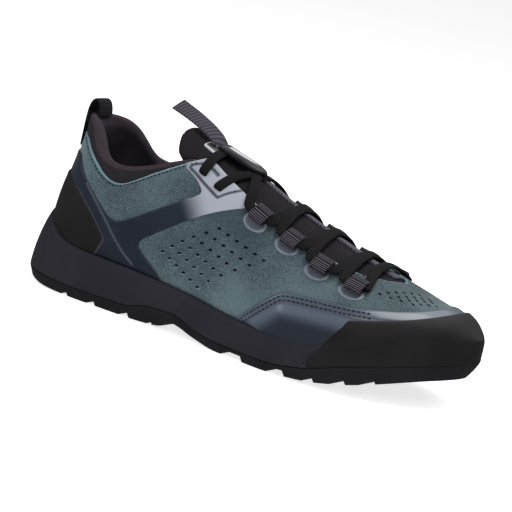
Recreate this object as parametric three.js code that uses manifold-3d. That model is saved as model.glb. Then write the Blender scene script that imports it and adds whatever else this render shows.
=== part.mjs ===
import * as THREE from 'three';
import Module from 'manifold-3d';

// Approach shoe, right foot. Millimetres: X heel to toe, Y to the inner side, Z up.

// Driving sizes.
const shoeLength = 293;
const ballWidth = 104;
const collarHeight = 108;
const crestHeight = 130;
const seatHeight = 26;
const upperWall = 1.8;
const fitGap = 0.3;
const collarPad = 5;
const randThickness = 2.6;
const counterThickness = 1.6;
const frameThickness = 0.7;
const overlayThickness = 1.2;
const tonguePad = 4.5;
const insoleThickness = 4;
const lugDepth = 3.2;
const sideFlare = 2.4;
const heelFlare = 7;
const toeTuck = 6;
const laceWidth = 7;
const laceThickness = 1.6;
const laceSlack = 1;
const laceUnder = 0.2;
const laceOver = 0.9;
const laceOverVamp = 1.4;
const laceBarSag = 6;
const loopWidth = 10.5;
const loopLength = 11;
const webbingThickness = 1.2;
const eyeletBore = 7.4;
const tabWidth = 13;
const tabThickness = 1.7;
const pullLoopWidth = 14.5;
const badgeLength = 29;
const badgeWidth = 18;
const badgeThickness = 1.6;
const badgeAt = 0.371;
const badgeLift = 3.8;
const channelWidth = 4;
const cutReach = 4;
const loopShoulder = 3.9;
const loopLift = 0.4;

// Mesh fineness.
const stationCount = 23;
const crownSteps = 5;

// Last form. at: share of the length. seat and crest: shares of seatHeight and crestHeight.
// outer, inner and ridge: distances from the centre line, shares of ballWidth.
// waist: height share of the widest row. foot: width share at the seat. crown: roundness.
const lastRows = [
  { at: 0.0, seat: 0.99, crest: 0.98, outer: 0.3, inner: 0.3, ridge: 0, waist: 0.14, foot: 0.9, crown: 2.2 },
  { at: 0.11, seat: 0.98, crest: 1.0, outer: 0.322, inner: 0.322, ridge: 0, waist: 0.14, foot: 0.92, crown: 2.2 },
  { at: 0.211, seat: 0.96, crest: 0.96, outer: 0.33, inner: 0.318, ridge: 0, waist: 0.15, foot: 0.93, crown: 2.2 },
  { at: 0.312, seat: 0.918, crest: 0.875, outer: 0.34, inner: 0.3, ridge: 0.005, waist: 0.17, foot: 0.93, crown: 2.3 },
  { at: 0.393, seat: 0.858, crest: 0.806, outer: 0.36, inner: 0.285, ridge: 0.01, waist: 0.19, foot: 0.93, crown: 2.3 },
  { at: 0.464, seat: 0.797, crest: 0.762, outer: 0.385, inner: 0.285, ridge: 0.018, waist: 0.2, foot: 0.93, crown: 2.1 },
  { at: 0.565, seat: 0.716, crest: 0.673, outer: 0.425, inner: 0.34, ridge: 0.03, waist: 0.22, foot: 0.93, crown: 1.9 },
  { at: 0.666, seat: 0.686, crest: 0.596, outer: 0.45, inner: 0.415, ridge: 0.045, waist: 0.25, foot: 0.94, crown: 1.8 },
  { at: 0.767, seat: 0.787, crest: 0.527, outer: 0.445, inner: 0.465, ridge: 0.06, waist: 0.27, foot: 0.95, crown: 1.85 },
  { at: 0.868, seat: 0.98, crest: 0.462, outer: 0.395, inner: 0.475, ridge: 0.08, waist: 0.3, foot: 0.96, crown: 2.05 },
  { at: 0.95, seat: 1.2, crest: 0.405, outer: 0.32, inner: 0.475, ridge: 0.095, waist: 0.32, foot: 0.97, crown: 2.3 },
  { at: 1.0, seat: 1.35, crest: 0.32, outer: 0.27, inner: 0.475, ridge: 0.105, waist: 0.35, foot: 0.97, crown: 2.4 },
];

// Sole. outer and inner: shares of ballWidth. ground: underside of the lugs, line: top of the
// outsole, bite: top of the midsole lip, all shares of seatHeight.
const soleRows = [
  { at: 0.0, outer: 0.34, inner: 0.34, ground: 0.2, line: 0.33, bite: 1.56 },
  { at: 0.04, outer: 0.35, inner: 0.35, ground: 0.11, line: 0.31, bite: 1.45 },
  { at: 0.08, outer: 0.36, inner: 0.36, ground: 0.05, line: 0.28, bite: 1.28 },
  { at: 0.141, outer: 0.37, inner: 0.368, ground: 0.01, line: 0.25, bite: 1.16 },
  { at: 0.191, outer: 0.374, inner: 0.366, ground: 0, line: 0.24, bite: 1.12 },
  { at: 0.292, outer: 0.379, inner: 0.335, ground: 0, line: 0.26, bite: 1.08 },
  { at: 0.353, outer: 0.388, inner: 0.315, ground: 0.05, line: 0.42, bite: 1.05 },
  { at: 0.413, outer: 0.402, inner: 0.306, ground: 0.24, line: 0.46, bite: 1.01 },
  { at: 0.474, outer: 0.425, inner: 0.312, ground: 0.1, line: 0.28, bite: 0.95 },
  { at: 0.535, outer: 0.449, inner: 0.35, ground: 0, line: 0.2, bite: 0.87 },
  { at: 0.646, outer: 0.488, inner: 0.445, ground: 0, line: 0.2, bite: 0.83 },
  { at: 0.737, outer: 0.493, inner: 0.5, ground: 0.07, line: 0.35, bite: 0.92 },
  { at: 0.807, outer: 0.463, inner: 0.51, ground: 0.21, line: 0.6, bite: 1.0 },
  { at: 0.878, outer: 0.415, inner: 0.51, ground: 0.41, line: 0.81, bite: 1.16 },
  { at: 0.95, outer: 0.35, inner: 0.51, ground: 0.62, line: 1.03, bite: 1.35 },
  { at: 1.0, outer: 0.3, inner: 0.51, ground: 0.75, line: 1.18, bite: 1.5 },
];

// Forward lean of the heel back. rise: share of collarHeight, lean: share of heelFlare.
const leanRows = [
  { at: 0.0, lean: 1.35 },
  { at: 0.22, lean: 1.3 },
  { at: 0.34, lean: 1.33 },
  { at: 0.47, lean: 1.48 },
  { at: 0.55, lean: 1.65 },
  { at: 0.64, lean: 1.9 },
  { at: 0.73, lean: 2.12 },
  { at: 0.85, lean: 2.3 },
  { at: 1.0, lean: 2.4 },
  { at: 1.3, lean: 2.5 },
];

// Throat slot seen from above. half: share of ballWidth on each side of the ridge.
const throatRows = [
  { at: 0.3, half: 0.15 },
  { at: 0.36, half: 0.145 },
  { at: 0.383, half: 0.155 },
  { at: 0.427, half: 0.185 },
  { at: 0.454, half: 0.2 },
  { at: 0.5, half: 0.215 },
  { at: 0.56, half: 0.225 },
  { at: 0.657, half: 0.235 },
  { at: 0.72, half: 0.23 },
  { at: 0.76, half: 0.205 },
  { at: 0.79, half: 0.15 },
  { at: 0.81, half: 0.08 },
  { at: 0.82, half: 0.0 },
];

// Tongue seen from above.
const tongueRows = [
  { at: 0.286, half: 0.04 },
  { at: 0.29, half: 0.1 },
  { at: 0.304, half: 0.155 },
  { at: 0.34, half: 0.19 },
  { at: 0.4, half: 0.21 },
  { at: 0.46, half: 0.235 },
  { at: 0.5, half: 0.25 },
  { at: 0.65, half: 0.265 },
  { at: 0.74, half: 0.255 },
  { at: 0.79, half: 0.21 },
  { at: 0.84, half: 0.1 },
];

// Side outlines. at: share of shoeLength, rise: share of collarHeight.
const suedeEdge = [
  { at: -0.05, rise: 0.88 },
  { at: 0.05, rise: 0.885 },
  { at: 0.09, rise: 0.875 },
  { at: 0.109, rise: 0.837 },
  { at: 0.149, rise: 0.75 },
  { at: 0.17, rise: 0.709 },
  { at: 0.192, rise: 0.688 },
  { at: 0.214, rise: 0.69 },
  { at: 0.235, rise: 0.72 },
  { at: 0.29, rise: 0.82 },
  { at: 0.338, rise: 0.904 },
  { at: 0.364, rise: 0.943 },
  { at: 0.4, rise: 1.0 },
];
const collarRim = [
  { at: -0.05, rise: 1.0 },
  { at: 0.06, rise: 1.0 },
  { at: 0.095, rise: 0.985 },
  { at: 0.116, rise: 0.946 },
  { at: 0.138, rise: 0.87 },
  { at: 0.151, rise: 0.833 },
  { at: 0.17, rise: 0.803 },
  { at: 0.21, rise: 0.795 },
  { at: 0.262, rise: 0.84 },
  { at: 0.322, rise: 0.92 },
  { at: 0.365, rise: 0.97 },
  { at: 0.4, rise: 1.02 },
];
const counterOutline = [
  { at: -0.05, rise: 0.1 },
  { at: -0.05, rise: 0.65 },
  { at: 0.06, rise: 0.655 },
  { at: 0.083, rise: 0.65 },
  { at: 0.13, rise: 0.584 },
  { at: 0.197, rise: 0.416 },
  { at: 0.21, rise: 0.378 },
  { at: 0.21, rise: 0.347 },
  { at: 0.195, rise: 0.27 },
  { at: 0.17, rise: 0.1 },
];
const randOutline = [
  { at: 0.713, rise: 0.02 },
  { at: 0.789, rise: 0.385 },
  { at: 0.823, rise: 0.407 },
  { at: 0.89, rise: 0.452 },
  { at: 0.936, rise: 0.495 },
  { at: 0.955, rise: 0.525 },
  { at: 1.05, rise: 0.56 },
  { at: 1.05, rise: 0.02 },
];
const overlayOutline = [
  { at: 0.51, rise: 0.1 },
  { at: 0.557, rise: 0.207 },
  { at: 0.588, rise: 0.285 },
  { at: 0.634, rise: 0.399 },
  { at: 0.65, rise: 0.424 },
  { at: 0.663, rise: 0.43 },
  { at: 0.705, rise: 0.439 },
  { at: 0.806, rise: 0.457 },
  { at: 0.863, rise: 0.478 },
  { at: 0.903, rise: 0.5 },
  { at: 0.93, rise: 0.53 },
  { at: 0.99, rise: 0.56 },
  { at: 0.99, rise: 0.1 },
];
const frameOutline = [
  { at: -0.05, rise: 0.66 },
  { at: -0.05, rise: 0.76 },
  { at: 0.088, rise: 0.775 },
  { at: 0.099, rise: 0.745 },
  { at: 0.134, rise: 0.65 },
  { at: 0.193, rise: 0.52 },
  { at: 0.21, rise: 0.49 },
  { at: 0.228, rise: 0.484 },
  { at: 0.252, rise: 0.512 },
  { at: 0.362, rise: 0.708 },
  { at: 0.39, rise: 0.75 },
  { at: 0.397, rise: 0.775 },
  { at: 0.384, rise: 0.811 },
  { at: 0.358, rise: 0.852 },
  { at: 0.331, rise: 0.88 },
  { at: 0.331, rise: 1.2 },
  { at: 0.511, rise: 1.2 },
  { at: 0.509, rise: 0.8 },
  { at: 0.504, rise: 0.773 },
  { at: 0.449, rise: 0.713 },
  { at: 0.403, rise: 0.643 },
  { at: 0.302, rise: 0.45 },
  { at: 0.291, rise: 0.424 },
  { at: 0.29, rise: 0.396 },
  { at: 0.308, rise: 0.357 },
  { at: 0.363, rise: 0.258 },
  { at: 0.4, rise: 0.1 },
  { at: 0.16, rise: 0.1 },
];

// Grooves between the lugs. at and width: shares of shoeLength.
const grooveRows = [
  { at: 0.148, width: 0.01 },
  { at: 0.215, width: 0.014 },
  { at: 0.297, width: 0.017 },
  { at: 0.574, width: 0.05 },
  { at: 0.68, width: 0.037 },
  { at: 0.752, width: 0.02 },
  { at: 0.81, width: 0.024 },
  { at: 0.864, width: 0.024 },
];

// Lace loops on each side, and the two top eyelets. at: outer side, inner: inner side, across: share of ballWidth from the ridge.
const loopRows = [
  { name: '1', at: 0.534, inner: 0.534, across: 0.26 },
  { name: '2', at: 0.616, inner: 0.614, across: 0.276 },
  { name: '3', at: 0.698, inner: 0.69, across: 0.315 },
  { name: '4', at: 0.781, inner: 0.764, across: 0.33 },
];
const eyeletRows = [
  { at: 0.383, across: 0.233 },
  { at: 0.427, across: 0.256 },
];

const wasm = await Module();
wasm.setup();

/** Smooth curve without overshoot through the rows of a table. */
function curveOf(rows, column) {
  const xs = rows.map((row) => row.at);
  const ys = rows.map((row) => row[column]);
  const steps = xs.slice(1).map((x, i) => x - xs[i]);
  const rates = steps.map((step, i) => (ys[i + 1] - ys[i]) / step);
  const slopes = ys.map((_, i) => {
    if (i === 0) return rates[0];
    if (i === ys.length - 1) return rates[i - 1];
    if (rates[i - 1] * rates[i] <= 0) return 0;
    const left = 2 * steps[i] + steps[i - 1];
    const right = steps[i] + 2 * steps[i - 1];
    return (left + right) / (left / rates[i - 1] + right / rates[i]);
  });
  return (at) => {
    const x = Math.min(Math.max(at, xs[0]), xs[xs.length - 1]);
    let i = 0;
    while (i < steps.length - 1 && x > xs[i + 1]) i += 1;
    const t = (x - xs[i]) / steps[i];
    const rise = ys[i + 1] - ys[i];
    const bend = (slopes[i] * (1 - t) - slopes[i + 1] * t) * steps[i] - rise * (1 - 2 * t);
    return ys[i] + rise * t + t * (1 - t) * bend;
  };
}

/** One curve for each named column of a table. */
function curvesOf(rows) {
  const names = Object.keys(rows[0]).filter((name) => name !== 'at');
  return Object.fromEntries(names.map((name) => [name, curveOf(rows, name)]));
}

const last = curvesOf(lastRows);
const sole = curvesOf(soleRows);
const lean = curveOf(leanRows, 'lean');
const throatHalf = curveOf(throatRows, 'half');
const tongueHalf = curveOf(tongueRows, 'half');
const toeCentre = last.ridge(1) * ballWidth;

/** Fades from one to nothing between two shares of the length. */
function fade(at, from, to) {
  const t = Math.min(Math.max((at - from) / (to - from), 0), 1);
  return 1 - t * t * (3 - 2 * t);
}

/** Rounds a half outline to a closed heel and toe. */
function rounded(at, side) {
  const heel = Math.max((0.13 - at) / 0.13, 0);
  const toe = Math.max((at - 0.78) / 0.22, 0);
  const heelShare = (1 - heel ** 2.3) ** (1 / 2.3);
  const toeShare = (1 - toe ** 2.05) ** (1 / 2.05);
  return (toeCentre + (side - toeCentre) * toeShare) * heelShare;
}

/** Even stations, closer at the ends. */
const stations = Array.from({ length: stationCount + 1 }, (_, i) => (1 - Math.cos((Math.PI * i) / stationCount)) / 2);

const randFront = shoeLength - randThickness;

/** Length along the last, grown outwards, leaning forward at the heel back. */
function lastX(at, z, growth) {
  const leaning = lean(z / collarHeight) * heelFlare * fade(at, 0, 0.22);
  return at * randFront + growth * (2 * at - 1) + leaning;
}

/** Side of the last at one station: half width, seat, crest and shape. */
function lastSection(at, hand, growth) {
  const half = (hand < 0 ? -last.outer(at) : last.inner(at)) * ballWidth;
  return {
    side: rounded(at, half + hand * growth),
    mid: rounded(at, last.ridge(at) * ballWidth),
    seat: last.seat(at) * seatHeight,
    crest: last.crest(at) * crestHeight + growth,
    waist: last.waist(at),
    foot: last.foot(at),
    crown: last.crown(at),
  };
}

/** Rows up one side of the last as [height share, width share]. */
function lastRowsUp(section) {
  const { waist, foot, crown } = section;
  const low = [0, 0.45, 0.8].map((share) => [waist * share, 1 - (1 - foot) * (1 - share) ** 2]);
  const high = Array.from({ length: crownSteps + 1 }, (_, i) => {
    const turn = (Math.PI / 2) * (i / crownSteps);
    const up = Math.sin(turn) ** (2 / crown);
    const out = i === crownSteps ? 0 : Math.cos(turn) ** (2 / crown);
    return [waist + (1 - waist) * up, out];
  });
  return [...low, ...high];
}

/** Ring of the last at one station: up the outer side, over, and down the inner side. */
function lastRing(at, growth, drop) {
  const ring = [];
  for (const hand of [-1, 1]) {
    const section = lastSection(at, hand, growth);
    const points = lastRowsUp(section).map(([h, g]) => {
      const z = section.seat + h * (section.crest - section.seat);
      return [lastX(at, z, growth), section.mid + (section.side - section.mid) * g, z];
    });
    const [x, y, z] = points[0];
    points.unshift([x, y, z - drop]);
    if (hand > 0) points.pop();
    ring.push(...(hand < 0 ? points : points.reverse()));
  }
  return ring;
}

/** Ring of the rand form: straight sides from the outsole line up to the waist of the last. */
function skirtRing(at, growth, drop) {
  const ring = lastRing(at, growth, 0);
  const count = ring.length;
  const line = sole.line(at) * seatHeight;
  const seat = last.seat(at) * seatHeight;
  const inset = growth - randThickness;
  const place = (index, hand, z, share) => {
    const half = (hand < 0 ? -sole.outer(at) : sole.inner(at)) * ballWidth;
    const straight = half + hand * (inset - sideFlare * share);
    ring[index] = [lastX(at, z, growth), rounded(at, straight), z];
  };
  place(0, -1, line - drop, 0);
  place(1, -1, seat, 0.5);
  place(count - 1, 1, line - drop, 0);
  place(count - 2, 1, seat, 0.5);
  const waistIndex = 4;
  for (let i = 2; i < waistIndex; i += 1) {
    for (const index of [i, count - 1 - i]) {
      const top = ring[index === i ? waistIndex : count - 1 - waistIndex];
      const base = ring[index === i ? 1 : count - 2];
      const share = (i - 1) / (waistIndex - 1);
      const z = base[2] + (top[2] - base[2]) * share;
      const y = base[1] + (top[1] - base[1]) * share ** 1.6;
      ring[index] = [lastX(at, z, growth), y, z];
    }
  }
  return ring;
}

/** Ring of the sole between two heights, flared at the foot. */
function soleRing(at, low, high, rows, growth = 0) {
  const line = sole.line(at) * seatHeight;
  const bite = sole.bite(at) * seatHeight;
  const ground = sole.ground(at) * seatHeight;
  const ring = [];
  for (const hand of [-1, 1]) {
    const half = (hand < 0 ? -sole.outer(at) : sole.inner(at)) * ballWidth;
    const points = rows.map((share) => {
      const z = low + (high - low) * share;
      const up = Math.max((z - line) / (bite - line), 0);
      const under = Math.max((line - z) / (line - ground), 0);
      const y = rounded(at, half + hand * (growth - sideFlare * up ** 1.4 - sideFlare * 0.5 * under));
      const back = heelFlare * up ** 1.2 * fade(at, 0, 0.14) + sideFlare * under * fade(at, 0, 0.1);
      const front = toeTuck * under ** 1.3 * (1 - fade(at, 0.82, 1));
      return [at * shoeLength + back - front, y, z];
    });
    ring.push(...(hand < 0 ? points : points.reverse()));
  }
  return ring;
}

/** Solid from a list of vertices and triangles, with coincident vertices merged. */
function solidFrom(points, faces) {
  const found = new Map();
  const merged = [];
  const index = points.map((point) => {
    const key = point.map((value) => Math.round(value * 1e4)).join(',');
    if (!found.has(key)) {
      found.set(key, merged.length / 3);
      merged.push(...point);
    }
    return found.get(key);
  });
  const triangles = faces
    .map((face) => face.map((i) => index[i]))
    .filter(([a, b, c]) => a !== b && b !== c && a !== c);
  let volume = 0;
  const at = (i) => new THREE.Vector3(merged[3 * i], merged[3 * i + 1], merged[3 * i + 2]);
  for (const [a, b, c] of triangles) volume += at(a).dot(at(b).cross(at(c)));
  const facing = volume < 0 ? triangles.map(([a, b, c]) => [a, c, b]) : triangles;
  const mesh = new wasm.Mesh({
    numProp: 3,
    vertProperties: new Float32Array(merged),
    triVerts: new Uint32Array(facing.flat()),
  });
  return new wasm.Manifold(mesh);
}

/** Area enclosed by a ring. */
function ringArea(ring) {
  const sum = new THREE.Vector3();
  ring.forEach((point, i) => {
    const next = ring[(i + 1) % ring.length];
    sum.add(new THREE.Vector3(...point).cross(new THREE.Vector3(...next)));
  });
  return sum.length() / 2;
}

/** Closed solid through rings of equal length. Flat ends are closed with a fan. */
function loft(rings) {
  const size = rings[0].length;
  const points = rings.flat();
  const faces = [];
  for (let k = 0; k < rings.length - 1; k += 1) {
    for (let i = 0; i < size; i += 1) {
      const a = k * size + i;
      const b = k * size + ((i + 1) % size);
      faces.push([a, b, b + size], [a, b + size, a + size]);
    }
  }
  for (const [k, flip] of [[0, true], [rings.length - 1, false]]) {
    if (ringArea(rings[k]) < 1e-4) continue;
    for (let i = 1; i < size - 1; i += 1) {
      const face = [k * size, k * size + i, k * size + i + 1];
      faces.push(flip ? [face[0], face[2], face[1]] : face);
    }
  }
  return solidFrom(points, faces);
}

/** Solid of a three.js geometry. */
function solidOf(geometry) {
  const plain = geometry.index ? geometry.toNonIndexed() : geometry;
  const position = plain.getAttribute('position');
  const points = Array.from({ length: position.count }, (_, i) => [position.getX(i), position.getY(i), position.getZ(i)]);
  const faces = Array.from({ length: position.count / 3 }, (_, i) => [3 * i, 3 * i + 1, 3 * i + 2]);
  return solidFrom(points, faces);
}

const lastSolid = (growth, drop = 0) => loft(stations.map((at) => lastRing(at, growth, drop)));
const skirtSolid = (growth, drop = 0) => loft(stations.map((at) => skirtRing(at, growth, drop)));

/** Prism along Y over an outline drawn from the side. */
function sidePrism(points, from, to) {
  const shape = new THREE.Shape(points.map(([x, z]) => new THREE.Vector2(x, z)));
  const geometry = new THREE.ExtrudeGeometry(shape, { depth: to - from, bevelEnabled: false });
  geometry.rotateX(Math.PI / 2);
  geometry.translate(0, to, 0);
  return solidOf(geometry);
}

/** Side outline in millimetres from its rows, shifted when asked. */
function outlinePoints(rows, dx = 0, dz = 0) {
  return rows.map((row) => [row.at * shoeLength + dx, row.rise * collarHeight + dz]);
}

/** Half width of one side of the last over the half width of the outer side. */
function sideShare(at, hand) {
  return hand < 0 ? 1 : (last.inner(at) - last.ridge(at)) / (last.outer(at) + last.ridge(at));
}

/** Vertical prism over a plan drawn as half widths each side of the ridge. */
function planPrism(half, from, to, grow, steps = 20) {
  const edge = (hand) => Array.from({ length: steps + 1 }, (_, i) => {
    const at = from + ((to - from) * (1 - Math.cos((Math.PI * i) / steps))) / 2;
    const mid = last.ridge(at) * ballWidth;
    const x = at * shoeLength + grow * ((2 * i) / steps - 1);
    return new THREE.Vector2(x, mid + hand * (half(at) * sideShare(at, hand) * ballWidth + grow));
  });
  const points = [...edge(-1), ...edge(1).reverse()];
  const unique = points.filter((point, i) => point.distanceTo(points[(i + 1) % points.length]) > 1e-3);
  const shape = new THREE.Shape(unique);
  const geometry = new THREE.ExtrudeGeometry(shape, { depth: 3 * crestHeight, bevelEnabled: false });
  geometry.translate(0, 0, -crestHeight);
  return solidOf(geometry);
}

/** The largest body of a cut. */
function mainBody(solid) {
  const bodies = solid.decompose();
  return bodies.sort((a, b) => b.volume() - a.volume())[0];
}

const wide = ballWidth;
const above = (rows, dz) => [...outlinePoints(rows, 0, dz), [0.4 * shoeLength, 2 * collarHeight], [-0.05 * shoeLength, 2 * collarHeight]];
const sidesPrism = (points) => sidePrism(points, -wide, wide);

// Closed forms shared by the pieces.
const deep = seatHeight;
const outerForm = lastSolid(0);
const innerForm = lastSolid(-upperWall, deep);
const clearForm = lastSolid(-upperWall - fitGap, deep);
const overForm = lastSolid(fitGap, fitGap);

// Upper: the last form less its inside, open at the collar, the throat and underneath.
const collarCut = sidesPrism(above(suedeEdge, 0));
const throatCut = planPrism(throatHalf, throatRows[0].at, throatRows.at(-1).at, 0);
const aboveInstep = sidePrism([[0.3 * shoeLength, 0.4 * collarHeight], [0.3 * shoeLength, 3 * collarHeight], [1.1 * shoeLength, 3 * collarHeight], [1.1 * shoeLength, 0.4 * collarHeight]], -wide, wide);
const throatOpening = throatCut.intersect(aboveInstep);
const upperShell = mainBody(outerForm.subtract(innerForm).subtract(collarCut).subtract(throatOpening));

// Midsole and outsole.
const soleSolid = (low, high, rows, growth) => loft(stations.map((at) => soleRing(at, low(at), high(at), rows, growth)));
const groundOf = (at) => sole.ground(at) * seatHeight;
const lineOf = (at) => sole.line(at) * seatHeight;
const biteOf = (at) => sole.bite(at) * seatHeight;
const randPrism = sidesPrism(outlinePoints(randOutline));
const randPrismGrown = sidesPrism(outlinePoints(randOutline, -fitGap, fitGap));
const midsoleBlock = soleSolid((at) => lineOf(at) + fitGap, biteOf, [0, 0.3, 0.6, 0.85, 1], 0);
const biteClear = soleSolid(groundOf, (at) => biteOf(at) + fitGap, [0, 1], cutReach);
const randInside = skirtSolid(0, deep);
const midsoleSolid = mainBody(midsoleBlock.subtract(randPrismGrown.subtract(randInside)).subtract(overForm));
const outsoleBlock = soleSolid(groundOf, lineOf, [0, 0.5, 1], 0);

/** Groove across the outsole that follows its underside. */
function grooveSolid({ at, width }) {
  const half = (width * shoeLength) / 2;
  const x = at * shoeLength;
  const low = groundOf(at);
  const slope = (groundOf(at + width / 2) - groundOf(at - width / 2)) / (2 * half);
  const corners = [[-half - 0.8, -cutReach], [-half - 0.8, 0], [-half + 0.8, lugDepth], [half - 0.8, lugDepth], [half + 0.8, 0], [half + 0.8, -cutReach]];
  return sidePrism(corners.map(([dx, dz]) => [x + dx, low + slope * dx + dz]), -wide, wide);
}

/** Channel along the outsole under part of its length. */
function channelSolid(from, to, centre) {
  const count = 5;
  const rings = Array.from({ length: count + 1 }, (_, i) => {
    const at = from + ((to - from) * i) / count;
    const mid = ((sole.inner(at) - sole.outer(at)) / 2 + centre) * ballWidth;
    const low = groundOf(at);
    const [left, right] = [mid - channelWidth / 2, mid + channelWidth / 2];
    const corners = [[left, low - cutReach], [left, low + lugDepth], [right, low + lugDepth], [right, low - cutReach]];
    return corners.map(([y, z]) => [at * shoeLength, y, z]);
  });
  return loft(rings);
}
const grooves = grooveRows.map(grooveSolid);
const channels = [-1, 1].flatMap((side) => [channelSolid(0.12, 0.31, side * 0.12), channelSolid(0.5, 0.9, side * 0.16)]);
const outsoleSolid = mainBody([...grooves, ...channels].reduce((body, cut) => body.subtract(cut), outsoleBlock));

// Insole on the pocket floor, inside the wall.
const insoleSlab = loft(stations.map((at) => {
  const low = last.seat(at) * seatHeight;
  return [[at * randFront, -wide, low], [at * randFront, -wide, low + insoleThickness], [at * randFront, wide, low + insoleThickness], [at * randFront, wide, low]];
}));
const insoleSolid = mainBody(clearForm.intersect(insoleSlab));

// Rand, counter, frames and overlays are cut between two grown forms.
const raised = (thickness) => lastSolid(thickness, 0).subtract(lastSolid(fitGap, deep));
const randSolid = mainBody(skirtSolid(randThickness, -fitGap).subtract(skirtSolid(fitGap, deep)).subtract(overForm).intersect(randPrism));
const counterPrism = sidesPrism(outlinePoints(counterOutline));
const counterPrismGrown = sidesPrism(outlinePoints(counterOutline, fitGap * 1.5, fitGap * 1.5));
const counterSolid = mainBody(raised(counterThickness).intersect(counterPrism).subtract(biteClear));
const frameShell = raised(frameThickness).subtract(counterPrismGrown).subtract(biteClear).subtract(collarCut).subtract(throatOpening);
const overlayShell = raised(overlayThickness).subtract(randPrismGrown).subtract(biteClear);
const halfGap = fitGap / 2;
const frameSide = (from, to) => mainBody(frameShell.intersect(sidePrism(outlinePoints(frameOutline), from, to)));
const overlaySide = (from, to) => mainBody(overlayShell.intersect(sidePrism(outlinePoints(overlayOutline), from, to)));

// Collar: a padded ring that stands above the suede edge and tucks inside it.
const tongueClear = planPrism(tongueHalf, tongueRows[0].at, tongueRows.at(-1).at, 2 * fitGap);
const rimPrism = sidesPrism([...outlinePoints(collarRim), [0.4 * shoeLength, 0.3 * collarHeight], [-0.05 * shoeLength, 0.3 * collarHeight]]);
const tuckDepth = 0.16 * collarHeight;
const tuckPrism = sidesPrism(above(suedeEdge, -tuckDepth));
const standing = lastSolid(-fitGap).intersect(sidesPrism(above(suedeEdge, fitGap)));
const collarOuter = standing.add(clearForm.intersect(tuckPrism)).intersect(rimPrism);
const collarSolid = mainBody(collarOuter.subtract(lastSolid(-upperWall - fitGap - collarPad, deep)).subtract(tongueClear));

// Tongue under the throat, rising out of the collar.
const tonguePlan = planPrism(tongueHalf, tongueRows[0].at, tongueRows.at(-1).at, 0);
const tongueRoof = clearForm;
const tongueFloor = lastSolid(-upperWall - fitGap - tonguePad, deep);
const tongueSolid = mainBody(tongueRoof.subtract(tongueFloor).intersect(tonguePlan).intersect(aboveInstep.add(sidePrism([[0, 0.8 * collarHeight], [0, 3 * collarHeight], [0.32 * shoeLength, 3 * collarHeight], [0.32 * shoeLength, 0.8 * collarHeight]], -wide, wide))));

/** Point over the roof of the last, at a share of the length and a distance from the ridge. */
function roofPoint(at, across, growth) {
  const section = lastSection(at, across < 0 ? -1 : 1, growth);
  const share = Math.min(Math.abs(across / (section.side - section.mid)), 1);
  const turn = Math.acos(share ** (section.crown / 2));
  const up = Math.sin(turn) ** (2 / section.crown);
  const h = section.waist + (1 - section.waist) * up;
  const z = section.seat + h * (section.crest - section.seat);
  return new THREE.Vector3(lastX(at, z, growth), section.mid + across, z);
}

/** Directions at a point of the roof: along the shoe, across it and outwards. */
function roofFrame(at, across, growth) {
  const step = 0.006;
  const along = roofPoint(at + step, across, growth).sub(roofPoint(at - step, across, growth)).normalize();
  const aside = roofPoint(at, across + 1.5, growth).sub(roofPoint(at, across - 1.5, growth)).normalize();
  const out = along.clone().cross(aside).normalize();
  return { along, aside: out.clone().cross(along).normalize(), out };
}

/** Point above the roof, measured straight out from its surface. */
function overRoof(at, across, height) {
  return roofPoint(at, across, 0).addScaledVector(roofFrame(at, across, 0).out, height);
}

/** Flat strap with rounded edges along a run of points, facing along the given normals. */
function strap(points, normals, width, thickness) {
  const rings = points.map((point, i) => {
    const before = points[Math.max(i - 1, 0)];
    const after = points[Math.min(i + 1, points.length - 1)];
    const tangent = after.clone().sub(before).normalize();
    const side = tangent.clone().cross(normals[i]).normalize();
    const up = side.clone().cross(tangent).normalize();
    const w = width / 2;
    const t = thickness / 2;
    const corners = [[-w, 0], [-w + t * 0.8, t], [w - t * 0.8, t], [w, 0], [w - t * 0.8, -t], [-w + t * 0.8, -t]];
    return corners.map(([a, b]) => point.clone().addScaledVector(side, a).addScaledVector(up, b).toArray());
  });
  return loft(rings);
}

/** Place on the roof beside the ridge, at a share of the outer half width. */
const roofPlace = (at, across, hand) => ({ at, across: hand * across * sideShare(at, hand) * ballWidth });

/** Points and normals of a lace run over the instep: low at the ridge, high at its ends. */
function laceSpan(from, to, low, steps, sag) {
  return Array.from({ length: steps + 1 }, (_, i) => {
    const share = i / steps;
    const at = from.at + (to.at - from.at) * share - (sag * 4 * share * (1 - share)) / shoeLength;
    const across = from.across + (to.across - from.across) * share;
    const height = low + (laceHigh - low) * Math.abs(2 * share - 1) ** 0.75;
    return { point: overRoof(at, across, height), normal: roofFrame(at, across, 0).out };
  });
}

/** Lace through a list of places, over and under in turn, flat against the instep. */
function laceChain(places, lows, steps, sag = 0) {
  const run = places.slice(1).flatMap((place, i) => {
    const span = laceSpan(places[i], place, lows[i], steps[i], sag);
    return i === 0 ? span : span.slice(1);
  });
  return strap(run.map((item) => item.point), run.map((item) => item.normal), laceWidth, laceThickness);
}

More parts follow.
